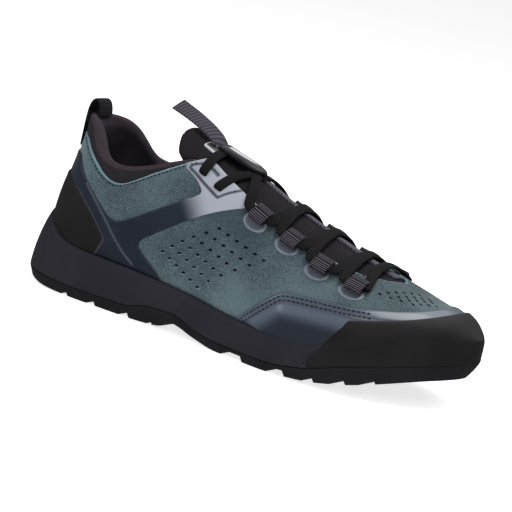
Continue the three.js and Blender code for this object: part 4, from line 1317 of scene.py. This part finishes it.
class Details:
    """Perforations and stitch rows."""

    FIRST = (
        (0.351, 0.412), (0.371, 0.457), (0.392, 0.501), (0.415, 0.545), (0.439, 0.586), (0.463, 0.628),
    )
    LAST_ROW = (
        (0.452, 0.293), (0.477, 0.346), (0.503, 0.399), (0.53, 0.451), (0.556, 0.5), (0.58, 0.545),
    )
    ROWS = 6
    TOE_ROWS = ((0.816, -21.6, 6), (0.836, -19.0, 6), (0.854, -15.7, 5), (0.875, -11.8, 4))
    TOE_STEP = (0.0088, 4.9)
    COLLAR_ROW = (
        (0.09, 0.875), (0.109, 0.837), (0.149, 0.75), (0.17, 0.709), (0.192, 0.685), (0.214, 0.694),
        (0.261, 0.767), (0.29, 0.82), (0.318, 0.867), (0.338, 0.904), (0.356, 0.934),
    )
    OVERLAY_ROW = (
        (0.557, 0.207), (0.588, 0.285), (0.617, 0.353), (0.634, 0.399), (0.644, 0.418), (0.663, 0.43),
        (0.705, 0.439), (0.762, 0.449), (0.806, 0.457), (0.83, 0.462),
    )

    # Stitch rows as (inset, step, height) in millimetres, the one at the throat without an inset.
    COLLAR_STITCH = (2.2, 2.6, 0.35)
    THROAT_STITCH = (2.8, 0.2)
    THROAT_MARGIN = 0.03
    OVERLAY_INSETS = (1.9, 4.2)
    OVERLAY_STEP = 2.9
    PROUD = 0.1

    def on_suede(self, places: np.ndarray, turns: np.ndarray) -> np.ndarray:
        """Points on the creased suede."""
        rest = LAST.point(places, turns, 0.0)
        return LAST.point(places, turns, sum(crease.growth(rest) for crease in CREASES))

    def side_holes(self, side: Side) -> tuple:
        """Places of the side perforations."""
        first, last = np.array(self.FIRST), np.array(self.LAST_ROW)
        grid = np.vstack([first + (last - first) * k / (self.ROWS - 1) for k in range(self.ROWS)])
        places, turns = LAST.locate(grid[:, 0], grid[:, 1], side)
        along, across, out = LAST.axes(places, turns)
        rise = across * (1 if side is Side.OUTER else -1)
        return self.on_suede(places, turns), along + 0.35 * rise, out

    def toe_holes(self) -> tuple:
        """Places of the toe perforations."""
        step = np.array(self.TOE_STEP)
        rows = [(start, y) + k * step for start, y, count in self.TOE_ROWS for k in range(count)]
        at, y = np.array(rows).T
        places, turns = LAST.locate_plan(at, y)
        along, across, out = LAST.axes(places, turns)
        return self.on_suede(places, turns), along - 0.35 * across, out

    def holes(self) -> None:
        """Holes as near-black ovals, a painted shade inside them, each with a pale lower rim."""
        groups = [self.side_holes(side) for side in Side] + [self.toe_holes()]
        points, along, out = (np.vstack(group) for group in zip(*groups))
        Repeats("perforations", (2.8, 1.6, 0.5), HOLE).build(points, along, out, "suede")
        below = points + (0.1, 0, -0.3) - out * 0.04
        Repeats("perforation_rims", (3.1, 2.0, 0.3), HOLE_RIM).build(below, along, out, "suede")

    def stitches(self) -> None:
        """Stitch rows along the collar, the overlay and the throat."""
        rows = [side_run(self.COLLAR_ROW, side, *self.COLLAR_STITCH) for side in Side]
        throat = [(at, half + self.THROAT_MARGIN) for at, half in THROAT_ROWS[1:-1]]
        rows += [plan_run(throat, side.value, *self.THROAT_STITCH) for side in Side]
        points, along, out = (np.vstack(row) for row in zip(*rows))
        Repeats("stitches_upper", (2.0, 0.7, 0.6), THREAD).build(points, along, out, "suede")
        height = SIZE.overlay + self.PROUD
        pairs = [(side, inset) for side in Side for inset in self.OVERLAY_INSETS]
        rows = [side_run(self.OVERLAY_ROW, *pair, self.OVERLAY_STEP, height) for pair in pairs]
        points, along, out = (np.vstack(row) for row in zip(*rows))
        Repeats("stitches_overlay", (2.3, 0.85, 0.7), THREAD_DARK).build(points, along, out, "gloss_film")

    def build(self) -> None:
        """Makes the holes and the stitches."""
        self.holes()
        self.stitches()


class Overlays:
    """Heel cap, film frame, forefoot overlay and toe rand."""

    MARKS = (
        ((0.136, 0.634), (0.187, 0.512), (0.25, 0.346), (0.286, 0.285)),
        ((0.367, 0.915), (0.357, 0.906), (0.348, 0.891), (0.349, 0.878), (0.363, 0.863),
         (0.391, 0.825), (0.426, 0.782), (0.432, 0.775)),
        ((0.389, 0.903), (0.396, 0.895), (0.409, 0.879)),
        ((0.432, 0.775), (0.445, 0.807), (0.462, 0.832), (0.471, 0.846)),
    )
    MARK_WIDTH = 0.9
    DEBOSS = 0.45
    PUFF = 2.2
    OVERLAY_TOP = (*Details.OVERLAY_ROW, (0.863, 0.478), (0.903, 0.497), (0.94, 0.51))

    def deboss(self, points: np.ndarray) -> np.ndarray:
        """Share of the debossed lines of the frame at each point."""
        share = np.zeros(len(points))
        for mark in self.MARKS:
            line = outline(mark, 2, closed=False)
            distance = line_distance(line, points[:, [0, 2]])
            share = np.maximum(share, np.exp(-((distance / self.MARK_WIDTH) ** 2)))
        return share

    def cap(self) -> None:
        """Rubber heel cap."""
        relief = rounded_edge(SIZE.counter, 1.3, 0.1)
        item = Shell("heel_cap", inside(outline(COUNTER, 2)), relief, level(0.05), (0, 0.27)).build()
        wear(item, RUBBER)
        settle(item, ("heel_counter",))

    def frame(self) -> None:
        """Film frame with its debossed lines."""
        line = outline(FRAME, 2)

        def region(points: np.ndarray) -> np.ndarray:
            """Negative on the frame, clear of the throat and the collar."""
            slot = -LAST.plan_distance(LAST.throat, THROAT_ROWS, points) + 0.4
            slot = np.where(points[:, 2] < 0.4 * SIZE.collar, -100.0, slot)
            below = -above_edge(SUEDE_EDGE, points, -0.6)
            return np.maximum.reduce([area_distance(line, points[:, [0, 2]]), slot, below])

        def relief(points: np.ndarray, edge: np.ndarray) -> np.ndarray:
            """Growth of the film, lower along its marks."""
            return rounded_edge(SIZE.film, 0.6, 0.05)(points, edge) - self.DEBOSS * self.deboss(points)

        shell = Shell("film_frame", region, relief, level(0.02), (0, 0.56), counts=(240, 320))
        item = shell.build()
        label(item, "mark", self.deboss(millimetres(item)))
        wear(item, FILM_FADE)
        settle(item, ("frame_lateral", "frame_medial"))

    def under_seam(self, points: np.ndarray) -> np.ndarray:
        """Distance from the top edge of the forefoot overlay."""
        return line_distance(outline(self.OVERLAY_TOP, 2, closed=False), points[:, [0, 2]])

    def forefoot(self) -> None:
        """Glossy overlay with a raised rim and a padded middle."""
        line = outline(OVERLAY, 2)
        rand = outline(RAND, 1)

        def region(points: np.ndarray) -> np.ndarray:
            """Negative on the overlay, which runs a little under the rand."""
            side = points[:, [0, 2]]
            return np.maximum(area_distance(line, side), -area_distance(rand, side) - 1.5)

        def relief(points: np.ndarray, edge: np.ndarray) -> np.ndarray:
            """Growth of the overlay: flat rim, groove under the seam, padded middle."""
            growth = rounded_edge(SIZE.overlay, 1.0, 0.05)(points, edge)
            top = self.under_seam(points)
            puff = self.PUFF * (1 - fade(top, 5.6, 14.0))
            return growth + puff - 0.35 * np.exp(-(((top - 5.7) / 0.9) ** 2))

        item = Shell("forefoot_overlay", region, relief, level(0.02), (0.48, 1.0)).build()
        # The seam distance shapes the padded middle and places the painted highlight of the film.
        label(item, "seam", self.under_seam(millimetres(item)))
        wear(item, GLOSS_RIM_PAINTED_HIGHLIGHT)
        settle(item, ("forefoot_overlay_lateral", "forefoot_overlay_medial"))

    def rand(self) -> None:
        """Rubber toe rand."""
        region = inside(outline(RAND, 1))
        relief = rounded_edge(SIZE.rand, 1.6, 0.3)
        shell = Shell("toe_rand_skin", region, relief, level(0.1), (0.69, 1.0), surface=LAST.skirt)
        item = shell.build()
        wear(item, RUBBER)
        settle(item, ("toe_rand",))

    def build(self) -> None:
        """Makes the four layers."""
        self.cap()
        self.frame()
        self.forefoot()
        self.rand()


class Sole:
    """Foam midsole and lugged outsole as lofts of the sole table."""

    LIP = 0.88
    CREVICE = 0.905
    BEVEL = 0.003

    def side(self, at: np.ndarray, hand: int, z: np.ndarray, growth: np.ndarray) -> np.ndarray:
        """Points of the sole's side wall."""
        line, bite, ground = (LAST.sole[name](at) * SIZE.seat for name in ("line", "bite", "ground"))
        half = (-LAST.sole["outer"](at) if hand < 0 else LAST.sole["inner"](at)) * SIZE.ball
        up = np.clip((z - line) / (bite - line), 0, None)
        under = np.clip((line - z) / (line - ground), 0, None)
        flare = SIZE.side_flare * (up**1.4 + 0.5 * under)
        y = LAST.rounded(at, half + hand * (growth - flare))
        back = SIZE.heel_flare * up**1.9 * fade(at, 0, 0.14)
        back = back + SIZE.side_flare * under * fade(at, 0, 0.1)
        front = SIZE.toe_tuck * under**1.3 * (1 - fade(at, 0.82, 1))
        return np.stack([at * SIZE.length + back - front, y, z], -1)

    def loft(self, name: str, rings: list[np.ndarray]) -> bpy.types.Object:
        """Piece through rings of equal length."""
        return link(name, in_frame(np.vstack(rings)), tube_faces(len(rings), len(rings[0])))

    def midsole(self) -> None:
        """Foam midsole with a rolled lip round the upper."""
        rand = outline(RAND, 1)
        shares = np.concatenate(
            [[0, 0.02, 0.05], np.linspace(0.1, 0.86, 12), [0.9, 0.93, 0.96, 0.985, 1.0]]
        )
        roll = np.where(shares > self.LIP, -1.5 * ((shares - self.LIP) / (1 - self.LIP)) ** 2, 0.0)
        roll = roll - 0.5 * np.exp(-((shares / 0.02) ** 2))
        roll = roll - 0.35 * np.exp(-(((shares - self.CREVICE) / 0.018) ** 2))
        rings = []
        for at in (1 - np.cos(np.linspace(0, math.pi, 181))) / 2:
            line, bite = LAST.sole["line"](at) * SIZE.seat, LAST.sole["bite"](at) * SIZE.seat
            seat = float(LAST.last["seat"](at)) * SIZE.seat
            z = line + 0.2 + (bite - line - 0.2) * shares
            foot = np.array([[bite - 1.2, 0.0], [seat - 0.6, 0.0]])
            halves = []
            for hand in (-1, 1):
                place = np.full(len(z), at)
                wall = self.side(place, hand, z, roll)
                recess = -3.4 * (1 - fade(-area_distance(rand, wall[:, [0, 2]]), 1.2, 2.2))
                wall = self.side(place, hand, z, roll + recess)
                edge = LAST.point(at, hand * (1 - 0.4 * LAST.LOW), -0.6)
                inner = np.array([[edge[0], edge[1], v] for v in foot[:, 0]])
                inner[0, 1] = (edge[1] + LAST.point(at, hand * (1 - LAST.LOW), 0.4)[1]) / 2
                halves.append(np.vstack([wall, inner])[:: -hand])
            rings.append(np.vstack(halves))
        item = self.loft("midsole_foam", rings)
        wear(item, FOAM)
        settle(item, ("midsole",))

    def outsole(self) -> None:
        """Rubber outsole with lugs between cross grooves."""
        edges = []
        for at, width in GROOVES:
            reach = width / 2
            edges += [at + end + bevel for end in (-reach, reach) for bevel in (-self.BEVEL, self.BEVEL)]
        even = (1 - np.cos(np.linspace(0, math.pi, 150))) / 2
        places = np.unique(np.concatenate([even, edges]))
        steps = np.array([1.0, 0.97, 0.8, 0.6, 0.4, 0.2, 0.06, 0.0])
        chamfer = np.array([-0.4, 0, 0, 0, 0, 0, -0.1, -0.6])
        rings = []
        for at in places:
            depth = max(self.notch(at, *groove) for groove in GROOVES)
            ground = float(LAST.sole["ground"](at)) * SIZE.seat + depth * SIZE.lug
            line = float(LAST.sole["line"](at)) * SIZE.seat
            z = np.minimum(line - 0.1, ground + (line - ground) * steps)
            outer, inner = (self.side(np.full(len(z), at), hand, z, chamfer) for hand in (-1, 1))
            base = self.base(at, outer[-1], inner[-1], ground)
            rings.append(np.vstack([outer, base, inner[::-1]]))
        item = self.loft("outsole_rubber", rings)
        wear(item, SOLE_RUBBER)
        settle(item, ("outsole",))

    def notch(self, at: float, centre: float, width: float) -> float:
        """Depth share of one groove at a place."""
        reach = abs(at - centre) - width / 2
        return float(np.clip((self.BEVEL - reach) / (2 * self.BEVEL), 0, 1))

    def base(self, at: float, left: np.ndarray, right: np.ndarray, ground: float) -> np.ndarray:
        """Underside points with two channels along the shoe."""
        wide = right[1] - left[1]
        mid = (right[1] + left[1]) / 2
        rows = []
        for sign in (-1, 1):
            offset = (0.12 if at < 0.4 else 0.16) * SIZE.ball
            centre = mid + sign * min(offset, wide * 0.3)
            deep = SIZE.lug if (0.12 < at < 0.31 or 0.5 < at < 0.9) else 0.0
            half = min(2.0, wide * 0.05)
            for y, lift in ((-half, 0.0), (-half * 0.9, deep), (half * 0.9, deep), (half, 0.0)):
                height = max(ground, float(LAST.sole["ground"](at)) * SIZE.seat + lift)
                rows.append((left[0], centre + y, height))
        return np.array(rows)

    def build(self) -> None:
        """Makes both pieces and gives the insole its cloth."""
        self.midsole()
        self.outsole()
        wear(bpy.data.objects["insole"], INSOLE)


class Collar:
    """Padded mesh collar with a soft lip."""

    ROLL = 3.4
    PUFF = 0.9

    def field(self, points: np.ndarray) -> np.ndarray:
        """Negative on the collar."""
        rim = -above_edge(COLLAR_RIM, points)
        foot = above_edge(SUEDE_EDGE, points, -0.16 * SIZE.collar)
        tongue = -LAST.plan_distance(LAST.tongue, TONGUE_ROWS, points) + 0.5
        return np.maximum.reduce([rim, foot, tongue])

    def roll(self, points: np.ndarray) -> np.ndarray:
        """Drop of the faces towards the rim."""
        t = np.clip(above_edge(COLLAR_RIM, points) / self.ROLL, 0, 1)
        return self.ROLL * (1 - np.sqrt(1 - (1 - t) ** 2))

    def outer(self, points: np.ndarray, edge: np.ndarray) -> np.ndarray:
        """Outer growth: in front of the wall above the suede, behind it below."""
        stand = -above_edge(SUEDE_EDGE, points)
        share = np.clip((stand + 0.3) / 0.6, 0, 1)
        puff = self.PUFF * np.clip(stand / 4, 0, 1)
        return -(SIZE.wall + SIZE.gap) * (1 - share) + share * (puff - 0.6) - self.roll(points)

    def inner(self, points: np.ndarray, edge: np.ndarray) -> np.ndarray:
        """Inner growth with the pad's thickness."""
        deep = above_edge(COLLAR_RIM, points)
        pad = SIZE.pad * fade(deep, 22, 40)
        return -(SIZE.wall + SIZE.gap + 0.2 + pad) + np.minimum(self.roll(points), pad)

    def build(self) -> None:
        """Makes the collar."""
        shell = Shell("collar_pad", self.field, self.outer, self.inner, (0, 0.42), counts=(150, 420))
        item = shell.build()
        label(item, "rim", above_edge(COLLAR_RIM, millimetres(item)))
        wear(item, COLLAR_LIP, LINING, COLLAR_LIP)
        settle(item, ("collar",))


class Tongue:
    """Mesh tongue with its stripe, keeper badge, flap and pull tab."""

    LOBE = (
        (0.286, 0.08), (0.291, 0.16), (0.303, 0.21), (0.318, 0.22), (0.345, 0.195), *TONGUE_ROWS[4:],
    )
    LIFT = 0.8
    EDGE_ROUND = 1.8
    EDGE_DROP = 1.5

    # Keeper, in millimetres: place as a share, half width, length, taper and shift to the side.
    BADGE_AT = 0.371
    BADGE_HALF = 6.6
    BADGE_LONG = 30.5
    BADGE_TAPER = (14, 17)
    BADGE_ASIDE = 1.5

    # Stripe as shares of the length and millimetres across, and flap in millimetres.
    STRIPE_SPAN = (0.45, 0.8)
    STRIPE_MIDDLE = 4.0
    STRIPE_HALF = 4.6
    FLAP_SPAN = (98.5, 109.5)
    FLAP_HALF = 10.0
    THIN = (-2.2, -0.6)

    # Pull tab: its side line, its twist in degrees, and width, thickness and edge exponent.
    TAB = (
        (0.362, 0.995), (0.356, 1.015), (0.345, 1.043), (0.32, 1.08), (0.28, 1.123), (0.239, 1.157),
    )
    TWIST = 30
    TAPE = (11.5, 1.7, 0.3)

    def pad(self) -> None:
        """Padded mesh body with a full lobe at its top."""
        half = columns(("at", "half"), self.LOBE)["half"]

        def region(points: np.ndarray) -> np.ndarray:
            """Negative on the tongue."""
            plan = LAST.plan_distance(half, self.LOBE, points)
            return np.where(points[:, 2] < 0.4 * SIZE.collar, 100.0, plan)

        def roll(edge: np.ndarray) -> np.ndarray:
            """Drop of the faces towards the edge."""
            t = np.clip(-edge / self.EDGE_ROUND, 0, 1)
            return self.EDGE_DROP * (1 - np.sqrt(1 - (1 - t) ** 2))

        def lift(points: np.ndarray) -> np.ndarray:
            """Rise of the top lobe."""
            return self.LIFT * fade(points[:, 0] / SIZE.length, 0.28, 0.35)

        def top(points: np.ndarray, edge: np.ndarray) -> np.ndarray:
            """Outer growth."""
            return lift(points) - (SIZE.wall + SIZE.gap) - roll(edge)

        def base(points: np.ndarray, edge: np.ndarray) -> np.ndarray:
            """Inner growth."""
            return lift(points) - (SIZE.wall + SIZE.gap + SIZE.tongue_pad) + roll(edge)

        item = Shell("tongue_pad", region, top, base, (0.24, 0.88), (-0.62, 0.62), (220, 110)).build()
        wear(item, TONGUE, LINING, TONGUE)
        settle(item, ("tongue",))

    def layer(
        self, name: str, region: Region, low: float, high: float, finish: Finish, slot: str,
        nodes: tuple = (), roll: float = 0.9,
    ) -> None:
        """A thin layer over the ridge.

        Args:
            name: Name of the piece.
            region: Its field, negative inside.
            low: Growth of its inner face.
            high: Growth of its outer face.
            finish: Its finish.
            slot: Not used.
            nodes: Solids it takes the place of.
            roll: Radius of its edge.
        """
        relief = rounded_edge(high, roll, low + 0.1)
        item = Shell(name, region, relief, level(low), (0.28, 0.86), (-0.5, 0.5), (320, 120)).build()
        wear(item, finish)
        settle(item, nodes)

    def badge_field(self, points: np.ndarray) -> np.ndarray:
        """Lozenge of the keeper."""
        along = points[:, 0] - self.BADGE_AT * LAST.front - 1.0
        off = LAST.off_ridge(points) + self.BADGE_ASIDE
        start, reach = self.BADGE_TAPER
        share = np.clip((along - start) / reach, 0, 1)
        half = self.BADGE_HALF * np.sqrt(1 - share**2.0)
        return np.maximum.reduce([np.abs(off) - half, -along, along - self.BADGE_LONG])

    def stripe_field(self, points: np.ndarray) -> np.ndarray:
        """Stripe along the tongue."""
        start, end = self.STRIPE_SPAN
        at = points[:, 0] / SIZE.length
        off = np.abs(LAST.off_ridge(points) - self.STRIPE_MIDDLE) - self.STRIPE_HALF
        return np.maximum.reduce([off, (start - at) * SIZE.length, (at - end) * SIZE.length])

    def flap_field(self, points: np.ndarray) -> np.ndarray:
        """Flap across the tongue, behind the keeper."""
        start, end = self.FLAP_SPAN
        off = np.abs(LAST.off_ridge(points)) - self.FLAP_HALF
        return np.maximum.reduce([off, start - points[:, 0], points[:, 0] - end])

    def tab(self) -> None:
        """Twill pull tab."""
        rows = soften(np.array(self.TAB) * (SIZE.length, SIZE.collar), 2)
        points = np.stack([rows[:, 0], np.full(len(rows), 1.5), rows[:, 1]], -1)
        tangent = np.gradient(points, axis=0)
        tangent /= np.linalg.norm(tangent, axis=1, keepdims=True)
        turned = math.radians(self.TWIST) * np.linspace(0.3, 1, len(rows))[:, None]
        flat = np.stack([-tangent[:, 2], np.zeros(len(rows)), tangent[:, 0]], -1)
        normals = flat * np.cos(turned) + np.array([0, 1, 0]) * np.sin(turned)
        item = sweep("pull_tab", points, normals, *self.TAPE)
        wear(item, TWILL)
        settle(item, ("tongue_tab",))

    def build(self) -> None:
        """Makes the tongue's pieces."""
        self.pad()
        self.layer("tongue_stripe", self.stripe_field, *self.THIN, PURPLE, "tab_twill")
        self.layer("tongue_flap", self.flap_field, *self.THIN, FLAP, "badge_gloss")
        nodes = ("tongue_badge",)
        # The keeper's white streak is a painted reflection.
        self.layer("keeper_badge", self.badge_field, 1.6, 4.9, BADGE, "badge_gloss", nodes, 6.0)
        self.tab()


class Lacing:
    """Flat lace, its webbing loops and the film patches under them."""

    UNDER, OVER, BAR = 0.2, 0.9, 1.4
    SAG = 6.0
    HIGH = 2.9
    RIB = 1.25
    ENDS = (0.75, 1.0)
    BAR_ENDS = (0.6, 0.6)

    # Film patches: half sizes along, across and outwards, and shifts back and aside.
    PATCH = (8.0, 5.6, 9.0)
    PATCH_BACK = 0.004
    PATCH_ASIDE = 3.4

    def spot(self, at: float, across: float, hand: int) -> tuple[float, float]:
        """Share of the length and millimetres from the ridge of a place."""
        return at, hand * across * float(LAST.side_share(at, hand)) * SIZE.ball

    def loop_spot(self, index: int, hand: int, side: float) -> tuple[float, float]:
        """Place before, at or behind a loop."""
        outer, inner, across = LOOPS[index]
        at = outer if hand < 0 else inner
        return self.spot(at + side * (SIZE.loop_width / 2 + 3.9) / SIZE.length, across, hand)

    def span(
        self, start: tuple, end: tuple, low: float, steps: int, sag: float = 0.0,
        first: float = HIGH, power: float = 0.75,
    ) -> tuple:
        """Run between two places, low in the middle.

        Args:
            start: First place: share of the length and millimetres from the ridge.
            end: Last place, in the same form.
            low: Height in the middle.
            steps: Number of its parts.
            sag: Millimetres towards the heel in the middle.
            first: Height at the first place.
            power: Exponent of the rise towards the ends.

        Returns:
            Points and the directions of the tape's flat face.
        """
        points, normals = [], []
        for share in np.linspace(0, 1, steps + 1):
            at = start[0] + (end[0] - start[0]) * share - sag * 4 * share * (1 - share) / SIZE.length
            across = start[1] + (end[1] - start[1]) * share
            edge = first if share < 0.5 else self.HIGH
            height = low + (edge - low) * abs(2 * share - 1) ** power
            point, _, _, out = roof(at, across, height)
            points.append(point)
            normals.append(out)
        return points, normals

    def half(self, hand: int) -> tuple:
        """One half of the lace from a lower eyelet through the loops."""
        points, normals = self.dive(EYELETS[1], hand)
        place = self.spot(*EYELETS[1], hand)
        for i in range(len(LOOPS)):
            side = -hand if i % 2 == 0 else hand
            over = self.UNDER + SIZE.gap if i == 0 else self.OVER
            rear, front = self.loop_spot(i, side, -1), self.loop_spot(i, side, 1)
            if i == len(LOOPS) - 1:
                front = self.loop_spot(i, side, 0.5)
            leave, power = (1.4, 1.6) if i == 0 else (self.HIGH, 0.9)
            crossing = self.span(place, rear, over if side < 0 else self.UNDER, 9, first=leave, power=power)
            for more, out in (crossing, self.span(rear, front, self.HIGH, 4)):
                points += more[1:]
                normals += out[1:]
            place = front
        return points, normals

    def dive(self, eyelet: tuple, hand: int) -> tuple:
        """First points of a strand that comes up through an eyelet."""
        at, across = self.spot(*eyelet, hand)
        centre, _, aside, out = roof(at, across, 0.0)
        away = aside * math.copysign(1, across)
        points = [centre - out * 4 + away * 0.2, centre + away * 0.9, centre + out * 1.9 + away * 0.6]
        return points, [away, away, (away + out) / math.sqrt(2)]

    def tape(self, name: str, points: list, normals: list, nodes: tuple, narrow: tuple) -> None:
        """One lace piece."""
        run, faces = soften(np.array(points)), soften(np.array(normals))
        item = sweep(name, run, faces, SIZE.lace_width * 0.9, SIZE.lace_thick * 1.35, 0.75, narrow)
        wear(item, LACE)
        settle(item, nodes)

    def strands(self) -> None:
        """The two halves, the bar between them and the strand of the top eyelets."""
        for side in Side:
            points, normals = self.half(side.value)
            self.tape(f"lace_from_{side.word}", points, normals, ("lace",), self.ENDS)
        ends = (self.loop_spot(3, hand, 0.75) for hand in (-1, 1))
        points, normals = self.span(*ends, self.BAR, 12, self.SAG)
        self.tape("lace_bar", points, normals, ("lace",), self.BAR_ENDS)
        start, turned = self.dive(EYELETS[0], -1)
        finish, last_turned = self.dive(EYELETS[0], 1)
        middle, out = self.span(self.spot(*EYELETS[0], -1), self.spot(*EYELETS[0], 1), self.UNDER, 12)
        points = start + middle[1:-1] + finish[::-1]
        normals = turned + out[1:-1] + last_turned[::-1]
        self.tape("lace_top_strand", points, normals, ("lace_top",), (self.ENDS[0],) * 2)

    def loop(self, index: int, side: Side) -> None:
        """Ribbed webbing loop round the lace."""
        at, across = self.loop_spot(index, side.value, 0)
        high = SIZE.lace_thick + 1.0 + 2 * SIZE.webbing
        centre, along, aside, out = roof(at, across, high / 2 + SIZE.gap + 0.1)
        count = 260
        outer = self.track(SIZE.loop_length, high, count)
        inner = self.track(SIZE.loop_length - 2 * SIZE.webbing, high - 2 * SIZE.webbing, count)
        length = np.cumsum(np.linalg.norm(np.roll(outer, -1, 0) - outer, axis=1))
        ridge = 0.5 + 0.5 * np.sin(length * 2 * math.pi / self.RIB)
        outer = outer * (0.99 + 0.045 * ridge[:, None])
        points = []
        for track, wide in ((outer, 0.94), (outer, 1.0), (inner, 1.0), (inner, 0.94)):
            for end in (-1, 1):
                grow = 0.985 if wide > 0.99 and track is outer else 1.0
                base = centre + along * end * SIZE.loop_width / 2 * wide
                points.append(base + track[:, :1] * grow * aside + track[:, 1:] * grow * out)
        order = [0, 1, 3, 5, 7, 6, 4, 2]
        faces = []
        for a, b in zip(order, order[1:] + order[:1]):
            for i in range(count):
                j = (i + 1) % count
                faces.append((a * count + i, a * count + j, b * count + j, b * count + i))
        item = link(f"loop_{side.word}_{index + 1}", in_frame(np.vstack(points)), faces)
        label(item, "rib", np.tile(ridge, 8))
        wear(item, WEBBING)
        settle(item, (f"lace_loop_{side.word}_{index + 1}",))

    def track(self, length: float, height: float, count: int) -> np.ndarray:
        """Closed oval track, long across the shoe."""
        turn = np.linspace(0, 2 * math.pi, count, endpoint=False)
        x = np.sign(np.cos(turn)) * np.abs(np.cos(turn)) ** 0.55 * length / 2
        z = np.sign(np.sin(turn)) * np.abs(np.sin(turn)) ** 0.55 * height / 2
        return np.stack([x, z], -1)

    def patches(self) -> None:
        """Oval film patches round the loops."""

        def region(points: np.ndarray) -> np.ndarray:
            """Negative on the ovals, clear of the throat."""
            fields = []
            for index in range(len(LOOPS)):
                for side in Side:
                    at, across = self.loop_spot(index, side.value, 0)
                    across += side.value * self.PATCH_ASIDE
                    fields.append(strip_distance(points, at - self.PATCH_BACK, across, self.PATCH))
            slot = -LAST.plan_distance(LAST.throat, THROAT_ROWS, points) + 0.3
            return np.maximum(np.minimum.reduce(fields), slot)

        relief = rounded_edge(0.3, 0.5, 0.02)
        shell = Shell("loop_patches", region, relief, level(-0.1), (0.42, 0.86), (-0.8, 0.8), (300, 200))
        item = shell.build()
        wear(item, SILVER)
        settle(item)

    def build(self) -> None:
        """Makes the lace, its loops and the patches."""
        self.strands()
        for index in range(len(LOOPS)):
            for side in Side:
                self.loop(index, side)
        self.patches()


class HeelLoop:
    """Webbing pull loop at the heel."""

    ROWS = (
        (0.0475, 0.785), (0.0475, 0.87), (0.048, 0.98), (0.0525, 1.04), (0.061, 1.062), (0.07, 1.05),
        (0.076, 1.01), (0.077, 0.975),
    )
    TAPE = (14.5, 1.6, 0.3)

    def build(self) -> None:
        """Makes the loop."""
        rows = soften(np.array(self.ROWS) * (SIZE.length, SIZE.collar), 3)
        points = np.stack([rows[:, 0], np.zeros(len(rows)), rows[:, 1]], -1)
        tangent = np.gradient(points, axis=0)
        normals = np.stack([-tangent[:, 2], np.zeros(len(rows)), tangent[:, 0]], -1)
        item = sweep("heel_pull", points, normals, *self.TAPE)
        wear(item, HEEL_TAPE)
        settle(item, ("heel_loop",))


def main() -> None:
    """Builds the shoe in order."""
    logging.basicConfig(level=logging.INFO, format="%(message)s")
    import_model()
    Studio().build()
    Upper().build()
    Overlays().build()
    Details().build()
    Sole().build()
    Collar().build()
    Tongue().build()
    Lacing().build()
    HeelLoop().build()


if __name__ == "__main__":
    main()
